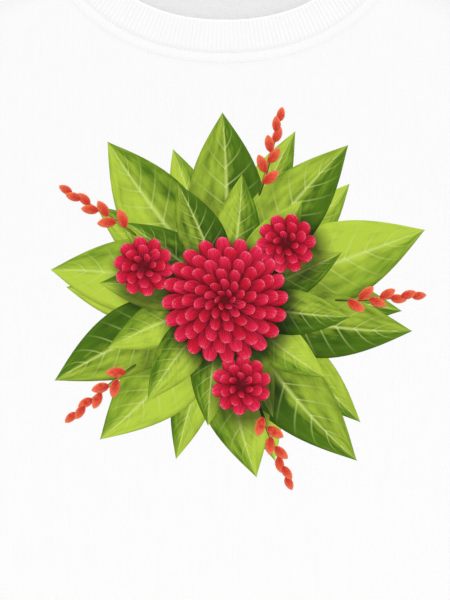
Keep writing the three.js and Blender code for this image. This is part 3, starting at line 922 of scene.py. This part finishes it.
def neck_tape():
    """Herringbone tape on the back panel's inner face, along the neck seam."""
    share = np.linspace(-TAPE_HALF_ARC, TAPE_HALF_ARC, 121)
    t, r = np.meshgrid(share, -TAPE_SETBACK - TAPE_WIDTH * crowded(8, 4, 0.1, 4, 0.1)[::-1])
    plan = mirrored(near_neck(BACK_NECK, np.abs(t), r), t)
    lift = FLEECE / 2 + TAPE / 2 + TAPE_CLEARANCE
    middle = lifted(on_back, plan.reshape(-1, 2), np.full(t.size, lift))[0]
    to_edge = np.minimum(-r - TAPE_SETBACK, TAPE_WIDTH + TAPE_SETBACK + r).ravel()
    half = TAPE / 2 * rim_share(to_edge, TAPE_ROLL)
    shell, quads, _ = thickened(middle, grid_faces(*t.shape), half, half)
    uv = np.stack([t * BACK_NECK[0].length, r], -1).reshape(-1, 2) * MM
    return piece("neck_tape_cloth", "tape", ["neck_tape"], shell, quads, uv, [herringbone])


# Threads
THREAD = 0.42
STITCH_RISE = 0.2
STITCH_FILL = 0.78  # share of the pitch that one stitch takes
NECK_PITCH, SEAM_PITCH = 2.1, 2.3
STITCH_SINK = 0.16  # how deep a row on the front layer starts below the cloth's face
ROW_INSET = 2  # how far a row ends inside a fold
STITCH_STEPS = np.array([-1.0, -0.8, 0.0, 0.8, 1.0])
STITCH_GIRTH = np.array([0.25, 0.8, 1.0, 0.8, 0.25])  # thickness at those steps, as a share


def stitch_row(layer, path, pitch):
    """Centres, directions, normals and half lengths of stitches at even steps of a plan path.

    On the back layer they face down and are sunk, so that no thread goes through the surface."""
    lift = FLEECE / 2 - STITCH_SINK if layer is on_front else STITCH_RISE + THREAD / 2 - FLEECE / 2
    edge = Edge(path)
    share = (np.arange(int(edge.length / pitch)) + 0.5) * pitch / edge.length
    step = 0.25 * pitch / edge.length
    centre, normal = lifted(layer, edge.at(share), np.full(len(share), lift))
    along = layer(edge.at(share + step)) - layer(edge.at(share - step))
    along -= (along * normal).sum(1, keepdims=True) * normal
    along *= np.sign(lift) / np.linalg.norm(along, axis=1, keepdims=True)
    return centre, along, normal * np.sign(lift), np.full(len(share), STITCH_FILL * pitch / 2)


def stitches(name, rows):
    """Thread that shows as one small arch a stitch: a six-sided tube along h(1 - u^2)."""
    centre, along, normal, half = (np.concatenate(part) for part in zip(*rows))
    u = STITCH_STEPS[:, None]
    angle = np.arange(6) * np.pi / 3
    radius = THREAD / 2 * STITCH_GIRTH[:, None]
    rise = STITCH_RISE * (1 - u**2) + radius * np.cos(angle)
    ahead = u + 0 * angle
    points = (
        centre[:, None, None]
        + along[:, None, None] * (half[:, None, None] * ahead)[..., None]
        + normal[:, None, None] * rise[..., None]
        + np.cross(normal, along)[:, None, None] * (radius * np.sin(angle))[..., None]
    )
    ends = np.array([[0, 3, 2, 1], [0, 5, 4, 3], [24, 25, 26, 27], [24, 27, 28, 29]])
    one = np.vstack([grid_faces(5, 6, ring=True), ends])
    faces = (one + 30 * np.arange(len(centre))[:, None, None]).reshape(-1, 4)
    uv = np.stack(np.broadcast_arrays(ahead, angle / np.pi), -1).reshape(-1, 2)
    uv = np.tile(uv, (len(centre), 1))
    return piece(f"threads_{name}", "fleece", [], points.reshape(-1, 3), faces, uv, [thread])


def across_front(neck, reach):
    """Plan path along a whole neckline at a reach from its seam."""
    share = np.linspace(-1, 1, 241)
    return mirrored(near_neck(neck, np.abs(share), reach + 0 * share), share)


def beside_armhole(sign):
    """Plan path beside an armhole and short of its ends, a stitch line's distance into the body."""
    points = armhole.points
    run = np.gradient(points, axis=0)
    run /= np.linalg.norm(run, axis=1, keepdims=True)
    inward = np.stack([-run[:, 1], run[:, 0]], -1)
    return (points + STITCH_LINE * inward)[3:-2] * [sign, 1]


def beside_cuff(sign):
    """Plan path beside a cuff seam, on the sleeve."""
    half = CUFF_SEAM_HALF - ROW_INSET
    return np.array([near_cuff(-STITCH_LINE, -half), near_cuff(-STITCH_LINE, half)]) * [sign, 1]


def all_stitches():
    """The rows of stitching: round the neck, the armholes, the waistband and the cuffs."""
    both = (on_front, on_back)
    half = WAIST_SEAM_HALF - ROW_INSET
    beside_waist = np.array([(-half, STITCH_LINE), (half, STITCH_LINE)]) + [0, WAIST_SEAM_Y]
    necks = ((on_front, FRONT_NECK), (on_back, BACK_NECK))
    sides = [(sign, layer) for sign in (1, -1) for layer in both]
    return (
        stitches("neckline", [
            stitch_row(layer, across_front(neck, -STITCH_LINE), NECK_PITCH) for layer, neck in necks
        ]),
        stitches("armholes", [stitch_row(layer, beside_armhole(sign), SEAM_PITCH) for sign, layer in sides]),
        stitches("waistband", [stitch_row(layer, beside_waist, SEAM_PITCH) for layer in both]),
        stitches("cuffs", [stitch_row(layer, beside_cuff(sign), SEAM_PITCH) for sign, layer in sides]),
    )


# The print: films of ink on the front panel's face, one above the other
PRINT_CENTRE = np.array([0.0, VIEW_CENTRE_Y])
INK = 0.012
INK_STEP = 0.022  # rise from one layer of ink to the next
BLOOM_RADIUS = 37
BLOSSOM_RADIUS = 18
SHADOW_SHIFT = np.array([3.5, -5.0])
SHADOW_FADE = (-3, 9)  # distances past a bloom's edge over which its painted shadow ends

# Outlines of the blades: the powers a and b of t^a (1 - t)^b
LEAF_SWELL = (0.8, 1.1)
PETAL_SWELL = (0.9, 0.42)
BUD_SWELL = (0.6, 0.7)
STEM_SWELL = (0.2, 0.3)

# Rings of petals: their number, how far out they start, and their length and width
BLOOM_RINGS = (
    (20, 15, 23, 9.5), (18, 12, 20, 8.8), (16, 8, 18, 8.2), (12, 4.5, 14.5, 7.4), (10, 1.5, 11, 5.8),
    (6, 0, 6, 4.4),
)
BLOSSOM_RINGS = ((10, 0, 18, 9), (8, 0, 13, 7.4), (6, 0, 7.5, 4.6))
BUDS = 7
STEM_REACH = (74, 112)  # distances from the print's centre of a stem's first and last buds
STEM_STRAY = (0.2, 2.6)  # how far to the stem's side those two lie
BUD_LENGTHS, BUD_WIDTHS = (12, 9), (6.5, 5)
BUD_LEAN, LAST_LEAN = 0.7, 0.1  # the first bud's angle from the stem, and the last one's share of it

# Seeds of the layout of the leaves, and of the shades
LAYOUT_SEED = 7
LEAF_SEED, PETAL_SEED, BUD_SEED = 21, 22, 23


def turned(angle):
    """Unit directions at angles from +x."""
    return np.stack([np.cos(angle), np.sin(angle)], -1)


# How far from the print's centre the small blossoms lie, and at what angles
BLOSSOM_REACH = np.array([[50.0], [53.0], [52.0]])
BLOSSOM_ANGLES = np.array([0.75, 2.75, 4.9])
BLOSSOM_SPOTS = PRINT_CENTRE + BLOSSOM_REACH * turned(BLOSSOM_ANGLES)


def blades(base, heading, length, width, bend, layer, swell, rows=15, columns=9):
    """Flat leaves or petals, one a row of the arguments: points, faces, UV and layer of each.

    The middle line runs from the base along the heading and strays aside by bend * t^2. The half
    width at t is a multiple of t^a (1 - t)^b, widest at a / (a + b), with swell = (a, b)."""
    base, *rest = np.broadcast_arrays(
        base, *(np.reshape(v, (-1, 1)) for v in (heading, length, width, bend, layer))
    )
    heading, length, width, bend, layer = (v[:, 0] for v in rest)
    t = (1 - np.cos(np.pi * np.linspace(0.015, 0.985, rows))) / 2
    s = np.linspace(-1, 1, columns)
    a, b = swell
    peak = a / (a + b)
    half = (t / peak) ** a * ((1 - t) / (1 - peak)) ** b
    ahead, aside = (turned(heading + turn)[:, None, None] for turn in (0, np.pi / 2))
    forward = (length[:, None] * t)[:, :, None, None]
    strays = (bend[:, None] * t**2)[:, :, None, None]
    across = (width[:, None] / 2 * half)[:, :, None, None] * s[None, None, :, None]
    plan = base[:, None, None] + forward * ahead + (strays + across) * aside
    faces = grid_faces(rows, columns)[:, ::-1]
    faces = (faces + rows * columns * np.arange(len(base))[:, None, None]).reshape(-1, 4)
    uv = np.tile(np.stack(np.meshgrid(s, t), -1).reshape(-1, 2), (len(base), 1))
    return plan.reshape(-1, 2), faces, uv, np.repeat(layer, rows * columns), rows * columns


def whorl(centre, count, first, reach, length, width, bend, layer, swell, **size):
    """An even number of blades round a centre. They take turns on two layers, to overlap cleanly."""
    angle = first + 2 * np.pi * np.arange(count) / count
    base = centre + reach * turned(angle)
    return blades(base, angle, length, width, bend, layer + np.arange(count) % 2, swell, **size)


def painted_shadow(plan):
    """Printed shade on what lies under a bloom: 1 under it, falling to 0 outside it."""
    shadow = np.zeros(len(plan))
    for spot, radius in ((PRINT_CENTRE, BLOOM_RADIUS), *((b, BLOSSOM_RADIUS) for b in BLOSSOM_SPOTS)):
        past = np.linalg.norm(plan - spot - SHADOW_SHIFT, axis=1) - radius
        shadow = np.maximum(shadow, 1 - smooth(past, *SHADOW_FADE))
    return shadow


def printed(name, finish, groups, seed):
    """A film of ink on the front panel's face, with a random shade for each leaf or petal."""
    draw = np.random.default_rng(seed)
    plans, faces, uvs, layers, shades = [], [], [], [], []
    start = 0
    for plan, quads, uv, layer, size in groups:
        plans.append(plan)
        faces.append(quads + start)
        uvs.append(uv)
        layers.append(layer)
        shades.append(np.repeat(draw.random(len(plan) // size), size))
        start += len(plan)
    plan, layer = np.concatenate(plans), np.concatenate(layers)
    points = lifted(on_front, plan, FLEECE / 2 + INK + INK_STEP * layer)[0]
    shell, quads, _ = thickened(points, np.vstack(faces), INK / 2, INK / 2)
    marks = {"shade": np.concatenate(shades), "shadow": painted_shadow(plan)}
    return piece(f"print_{name}", "fleece", [], shell, quads, np.concatenate(uvs), [finish], **marks)


def rings_of_petals(centre, rings, first, turn, bend, layer):
    """A bloom: rings of petals, each smaller, higher and turned further than the one under it."""
    for number, (count, reach, length, width) in enumerate(rings):
        yield whorl(
            centre, count, first + turn * number, reach, length, width, bend, layer + 2 * number,
            swell=PETAL_SWELL, rows=11, columns=7,
        )


def sprig(angle):
    """A row of buds along a stem, smaller and straighter towards its tip."""
    step = np.arange(BUDS)
    stem = PRINT_CENTRE + np.linspace(*STEM_REACH, BUDS)[:, None] * turned(np.array([angle]))
    stem += np.linspace(*STEM_STRAY, BUDS)[:, None] * turned(np.array([angle + np.pi / 2]))
    lean = angle + np.where(step % 2, BUD_LEAN, -BUD_LEAN) * np.linspace(1, LAST_LEAN, BUDS)
    length, width = np.linspace(*BUD_LENGTHS, BUDS), np.linspace(*BUD_WIDTHS, BUDS)
    layer = 6 + step % 2
    return blades(stem, lean, length, width, bend=1, layer=layer, swell=BUD_SWELL, rows=9, columns=7)


def floral_print():
    """A round bouquet: long leaves all round, sprigs of buds, three small blossoms, one large bloom."""
    draw = np.random.default_rng(LAYOUT_SEED)
    centre, count = PRINT_CENTRE, 10
    wide = np.linspace(0, 2 * np.pi, count + 1)[:-1] + np.pi / 2
    between = wide + np.pi / count
    tips = between[1::2]

    def spread(low, high):
        return draw.uniform(low, high, count)

    leaves = [
        blades(
            centre + 24 * turned(between), between + spread(-0.1, 0.1), length=spread(66, 86),
            width=spread(26, 32), bend=spread(-12, 12), layer=0, swell=LEAF_SWELL, rows=25,
        ),
        blades(
            centre + 18 * turned(wide), wide + spread(-0.12, 0.12), length=spread(86, 110),
            width=spread(40, 50), bend=spread(-20, 20), layer=1 + np.arange(count) % 2,
            swell=LEAF_SWELL, rows=31, columns=13,
        ),
        whorl(
            centre, 12, first=0.31, reach=12, length=64, width=28, bend=6, layer=3,
            swell=LEAF_SWELL, rows=21,
        ),
        blades(
            centre + 66 * turned(tips), tips, length=48, width=2, bend=3, layer=5,
            swell=STEM_SWELL, columns=3,
        ),
    ]
    petals = []
    for number, spot in enumerate(BLOSSOM_SPOTS):
        petals += rings_of_petals(spot, BLOSSOM_RINGS, first=0.4 * number, turn=0.33, bend=1.2, layer=6)
    petals += rings_of_petals(centre, BLOOM_RINGS, first=0, turn=0.37, bend=1.8, layer=12)
    return (
        printed("leaves", leaf_ink, leaves, LEAF_SEED),
        printed("blooms", petal_ink, petals, PETAL_SEED),
        printed("buds", bud_ink, [sprig(angle) for angle in tips], BUD_SEED),
    )


def maths(operation, swapped=False):
    """A method that adds one Math node, whose values are the wire and what it is joined with."""
    def method(self, *others):
        values = (*others, self) if swapped else (self, *others)
        return self.finish.node("ShaderNodeMath", {"operation": operation}, dict(enumerate(values)))
    return method


class Wire:
    """A socket in a sum: each operator adds one Math node. Plain numbers may stand on either side."""

    def __init__(self, finish, socket):
        self.finish = finish
        self.socket = socket

    __add__ = __radd__ = maths("ADD")
    __mul__ = __rmul__ = maths("MULTIPLY")
    __sub__, __rsub__ = maths("SUBTRACT"), maths("SUBTRACT", swapped=True)
    __truediv__ = maths("DIVIDE")
    __pow__ = maths("POWER")
    size = maths("ABSOLUTE")
    sign = maths("SIGN")
    part = maths("FRACT")  # what is left above the whole number below
    at_least = maths("MAXIMUM")
    at_most = maths("MINIMUM")
    sine = maths("SINE")

    def wave(self):
        """Sine of the value, as turns of a circle."""
        return (self * (2 * np.pi)).sine()

    def swing(self):
        """The same wave, from 0 to 1."""
        return self.wave() * 0.5 + 0.5

    def fold(self):
        """Distance from the middle between two whole numbers, from 0 to a half."""
        return (self.part() - 0.5).size()


class Finish:
    """A material: a Principled shader, and one method for every other node."""

    def __init__(self, name, **constants):
        self.material = bpy.data.materials.new(name)
        self.material.use_nodes = True
        self.tree = self.material.node_tree
        self.tree.nodes.clear()
        self.shader = self.tree.nodes.new("ShaderNodeBsdfPrincipled")
        output = self.tree.nodes.new("ShaderNodeOutputMaterial")
        self.tree.links.new(self.shader.outputs[0], output.inputs[0])
        for socket, value in constants.items():
            self.shader.inputs[socket.replace("_", " ")].default_value = value

    def node(self, kind, settings=None, sockets=None, output=0):
        """Adds a node: first its settings, then the values or links of its sockets."""
        made = self.tree.nodes.new(kind)
        for setting, value in (settings or {}).items():
            setattr(made, setting, value)
        for place, value in (sockets or {}).items():
            if isinstance(value, Wire):
                self.tree.links.new(value.socket, made.inputs[place])
            else:
                made.inputs[place].default_value = value
        return Wire(self, made.outputs[output])

    def first_two(self, where):
        """The first two parts of a vector."""
        split = self.node("ShaderNodeSeparateXYZ", None, {0: where})
        return split, Wire(self, split.socket.node.outputs[1])

    def cloth(self):
        """The two coordinates of the piece's own UV map, in metres of cloth."""
        return self.first_two(self.node("ShaderNodeUVMap", {"uv_map": "Cloth"}))

    def place(self):
        """Object coordinates x and y, in metres."""
        return self.first_two(self.node("ShaderNodeTexCoord", output="Object"))

    def level(self, name):
        """A value that the piece stores at each point."""
        return self.node("ShaderNodeAttribute", {"attribute_name": name}, output="Fac")

    def noise(self, x, y, detail=2.0):
        """Smooth noise from 0 to 1 over coordinates that count in its own grains."""
        where = self.node("ShaderNodeCombineXYZ", None, {0: x, 1: y})
        return self.node("ShaderNodeTexNoise", None, {"Vector": where, "Scale": 1.0, "Detail": detail})

    def blend(self, low, high, share):
        """Colours mixed by a share."""
        settings = {"data_type": "RGBA", "clamp_factor": True}
        return self.node("ShaderNodeMix", settings, {0: share, 6: low, 7: high}, output=2)

    def colour(self, wire):
        """Sets what the base colour follows."""
        self.tree.links.new(wire.socket, self.shader.inputs["Base Color"])

    def bump(self, height, depth):
        """Relief: a height from 0 to 1 that stands for a depth in metres."""
        sockets = {"Height": height, "Distance": depth, "Strength": 1.0}
        normal = self.node("ShaderNodeBump", None, sockets)
        self.tree.links.new(normal.socket, self.shader.inputs["Normal"])


WALE = 0.00108
COURSE = 0.00082


def knit(x, y, wale=WALE, course=COURSE):
    """Plain knit: rounded columns of loops whose legs slant, so that each course makes a V."""
    off = (x / wale).fold() * 2
    ridge = 1 - off**2
    loops = (y / course - off * 0.5).swing()
    return ridge * (loops * 0.35 + 0.65)


def grey(value):
    """A neutral colour."""
    return (value, value, value, 1.0)


def paint(red, green, blue):
    """A linear colour from an sRGB one."""
    return (*(((c + 0.055) / 1.055) ** 2.4 if c > 0.04 else c / 12.92 for c in (red, green, blue)), 1.0)


def finished(name, **constants):
    """Makes a material of the function below it, which draws its colour and relief."""
    def make(draw):
        finish = Finish(name, **constants)
        draw(finish)
        return finish.material
    return make


@finished("Fleece face", Roughness=0.94, Specular_IOR_Level=0.2, Sheen_Weight=0.08)
def fleece_face(finish):
    """White plain knit: columns with slow uneven streaks, and a little fibre on top."""
    x, y = finish.cloth()
    streak = finish.noise(x * 420, y * 22)
    mottle = finish.noise(x * 60, y * 60, 3.0)
    fibre = finish.noise(x * 3200, y * 3200)
    finish.colour(finish.blend(grey(0.9), grey(0.94), streak * 0.6 + mottle * 0.4))
    height = knit(x + (mottle - 0.5) * 0.0004, y)
    finish.bump(height * (streak * 0.8 + 0.3) + fibre * 0.35, 0.00016)


@finished("Fleece back", Roughness=1.0, Specular_IOR_Level=0.1, Sheen_Weight=0.15)
def fleece_back(finish):
    """The brushed side: soft clumped pile without columns. Its grey is partly the pile's own tone and partly
    painted shade for the inside of the neck.
    """
    x, y = finish.place()
    clump = finish.noise(x * 260, y * 260, 4.0)
    pile = finish.noise(x * 1500, y * 1500, 2.0)
    # painted shade: this grey, darker than the face's white, partly stands in for the shade inside the neck
    finish.colour(finish.blend(grey(0.755), grey(0.815), clump * 0.7 + pile * 0.3))
    finish.bump(clump * 0.6 + pile * 0.4, 0.0005)


@finished("Rib knit", Roughness=0.93, Specular_IOR_Level=0.2, Sheen_Weight=0.08)
def rib_knit(finish):
    """Rib knit: one chain of Vs along each rib, which the mesh shapes, with painted shade darkening the
    furrows between the ribs.
    """
    x, y = finish.cloth()
    mottle = finish.noise(x * 80, y * 80, 3.0)
    fibre = finish.noise(x * 3200, y * 3200)
    phase = x / (RIB_PITCH * MM)
    # painted shade: the furrows between the ribs are coloured darker, as if in shade
    furrow_shade = (phase + 0.25).wave().at_least(0) ** 5
    face = finish.blend(grey(0.9), grey(0.94), mottle)
    finish.colour(finish.blend(face, grey(0.8), furrow_shade * 0.4))
    finish.bump(knit(x, y, RIB_PITCH * MM / 2, 0.001) * 0.8 + fibre * 0.3, 0.00014)


@finished("Herringbone tape", Roughness=0.8, Specular_IOR_Level=0.25)
def herringbone(finish):
    """Woven tape: slanting threads whose slant turns over at each rib of the herringbone."""
    x, y = finish.cloth()
    slant = (x / 0.0045).fold() * 4.5
    weave = (y / 0.0009 + slant).swing()
    finish.colour(finish.blend(grey(0.83), grey(0.9), weave))
    finish.bump(weave, 0.00012)


@finished("Sewing thread", Roughness=0.6, Specular_IOR_Level=0.35)
def thread(finish):
    """White sewing thread with the twist of its plies."""
    u, turn = finish.cloth()
    twist = (u * 3.0 + turn).swing()
    finish.colour(finish.blend(grey(0.84), grey(0.93), twist))
    finish.bump(twist, 0.00004)


@finished("Floor", Roughness=0.9, Specular_IOR_Level=0.2)
def board(finish):
    """Pale matt board."""
    x, y = finish.place()
    finish.colour(finish.blend(grey(0.56), grey(0.6), finish.noise(x * 8, y * 8, 4.0)))


def ink(name):
    """Makes a material of printed ink over the knit of the function below it, which works out its
    colour across and along a leaf or petal, from the random shade that each has."""
    def make(colouring):
        finish = Finish(name, Roughness=0.86, Specular_IOR_Level=0.2)
        s, t = finish.cloth()
        x, y = finish.place()
        finish.colour(colouring(finish, s, t, finish.level("shade")))
        finish.bump(knit(x, y), 0.00012)
        return finish.material
    return make


LEAF_SHADE = paint(0.06, 0.12, 0.01)
LEAF_DEEP = paint(0.12, 0.25, 0.01)
LEAF_GREEN = paint(0.38, 0.54, 0.08)
LEAF_BRIGHT = paint(0.7, 0.8, 0.25)
LEAF_PALE = paint(0.8, 0.87, 0.48)
PETAL_DEEP = paint(0.36, 0.0, 0.04)
PETAL_RED = paint(0.8, 0.03, 0.18)
PETAL_PINK = paint(0.95, 0.22, 0.4)
PETAL_PALE = paint(1.0, 0.7, 0.76)
BUD_DEEP = paint(0.7, 0.1, 0.1)
BUD_CORAL = paint(0.93, 0.32, 0.2)
BUD_LIGHT = paint(0.99, 0.6, 0.42)


@ink("Leaf ink")
def leaf_ink(finish, s, t, shade):
    """Shaded at the stem and under blooms, one half in the light, with a pale midrib and side veins."""
    side = s.size()
    grain = finish.noise(s * 4 + shade * 40, t * 6, 5.0)
    across = (t * 8.5 - side * 1.5 + s.sign() * 0.06).fold()
    vein = (1 - across * 12).at_least(0) * (1 - side)
    swell = across * (1 - side) * 0.35
    midrib = (1 - side * 13).at_least(0)
    lit = (s * 2.5 + 0.3).at_least(-1).at_most(1) * 0.34
    colour = finish.blend(LEAF_DEEP, LEAF_GREEN, t * 0.7 + grain * 0.9 + shade * 0.4 - 0.52)
    colour = finish.blend(colour, LEAF_BRIGHT, lit + shade * 0.75 + (grain - 0.5) * 1.3 + swell - 0.04)
    colour = finish.blend(colour, LEAF_PALE, midrib * 0.75 + vein * 0.6)
    return finish.blend(colour, LEAF_SHADE, finish.level("shadow") * 0.8 + (0.45 - t).at_least(0) * 1.7)


@ink("Petal ink")
def petal_ink(finish, s, t, shade):
    """Deep red at the base to crimson, with pink streaks and a pale, flecked tip."""
    streak = finish.noise(s * 7 + shade * 30, t * 1.3, 3.0)
    fleck = finish.noise(s * 14 + shade * 50, t * 16, 2.0)
    edge = s.size() ** 3 * 0.35
    colour = finish.blend(PETAL_DEEP, PETAL_RED, t * 2.3 - 0.95 - edge + (streak - 0.5) * 0.9)
    colour = finish.blend(colour, PETAL_PINK, (streak - 0.5) * 2.4 + t**4 * 0.7 + shade * 0.3 - 0.3)
    return finish.blend(colour, PETAL_PALE, (fleck - 0.57) * 6 * t**3 + (t - 0.92) * 6)


@ink("Bud ink")
def bud_ink(finish, s, t, shade):
    """Red to coral, with a light edge."""
    grain = finish.noise(s * 5 + shade * 30, t * 5, 3.0)
    colour = finish.blend(BUD_DEEP, BUD_CORAL, t * 0.7 + grain * 0.8 - 0.3)
    return finish.blend(colour, BUD_LIGHT, s.size() ** 3 * 0.5 + t**3 * 0.5 + (grain - 0.5))


FLOOR_HALF = 2.0


def stage():
    """The floor that the garment lies on."""
    corners = [(x * FLOOR_HALF, y * FLOOR_HALF, 0) for x, y in ((-1, -1), (1, -1), (1, 1), (-1, 1))]
    mesh = bpy.data.meshes.new("floor")
    mesh.from_pydata(corners, [], [(0, 1, 2, 3)])
    mesh.materials.append(board)
    floor = bpy.data.objects.new("floor", mesh)
    bpy.context.scene.collection.objects.link(floor)


def light(name, kind, energy, from_way, where=(0, 0, 0), **settings):
    """A light whose rays come from the given direction."""
    data = bpy.data.lights.new(name, kind)
    data.energy = energy
    for setting, value in settings.items():
        setattr(data, setting, value)
    made = bpy.data.objects.new(name, data)
    made.location = where
    made.rotation_euler = Vector(from_way).to_track_quat("Z", "Y").to_euler()
    bpy.context.scene.collection.objects.link(made)


CAMERA_HEIGHT = 1.2
SENSOR = 36.0


def camera():
    """Straight above the part of the garment that the photograph shows."""
    data = bpy.data.cameras.new("camera")
    chest = (FOLD_HEIGHT + CENTRE_LOFT) * MM
    data.sensor_width = SENSOR
    data.lens = SENSOR * (CAMERA_HEIGHT - chest) / (VIEW_HEIGHT * MM)
    data.sensor_fit = "AUTO"
    made = bpy.data.objects.new("camera", data)
    made.location = (0, (VIEW_CENTRE_Y + PATTERN_Y) * MM, CAMERA_HEIGHT)
    bpy.context.scene.collection.objects.link(made)
    bpy.context.scene.camera = made


SURROUND = 0.55
KEY, KEY_FROM, KEY_SPREAD = 1.87, (0.12, 1.2, 1.6), 0.6
FILL, FILL_AT, FILL_AIM, FILL_SIZE = 3.5, (0.3, -1.3, 1.5), (0, -0.1, 0), 1.2


def lights():
    """An even pale surround, a soft sun from beyond the collar, and a weak fill from the hem's side."""
    world = bpy.data.worlds.new("surround")
    world.use_nodes = True
    surround = world.node_tree.nodes["Background"]
    surround.inputs["Color"].default_value = grey(1.0)
    surround.inputs["Strength"].default_value = SURROUND
    bpy.context.scene.world = world
    bpy.context.scene.view_settings.view_transform = "Standard"
    light("key", "SUN", KEY, KEY_FROM, angle=KEY_SPREAD)
    light("fill", "AREA", FILL, Vector(FILL_AT) - Vector(FILL_AIM), FILL_AT, size=FILL_SIZE)


def declare_sheets(front, back, sleeves, bands, tape, threads, prints):
    """Goes over the pieces: makes lists of what goes with each panel and sleeve, and stacks the plan points
    round a sleeve. Nothing of it is kept.
    """
    neck, arms, waist, cuffs = threads
    for panel, neckline, extra in ((front, FRONT_NECK, [neck, arms, waist, *prints]), (back, BACK_NECK, [])):
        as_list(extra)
    layer = np.vstack([
        armhole.points, sleeve_top, sleeve_end(1), sleeve_end(-1)[::-1], sleeve_under[::-1]
    ])
    for sleeve_piece, extra in zip(sleeves, ([cuffs], [])):
        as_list(extra)


camera()
lights()
stage()
front_piece = body_panel("front_panel", FRONT_NECK, on_front, 1, FRONT_PUFFS)
back_piece = body_panel("back_panel", BACK_NECK, on_back, -1, BACK_PUFFS)
sleeve_pieces = [sleeve("left", 1), sleeve("right", -1)]
declare_sheets(
    front_piece, back_piece, sleeve_pieces, ribbed_bands(), neck_tape(), all_stitches(), floral_print()
)
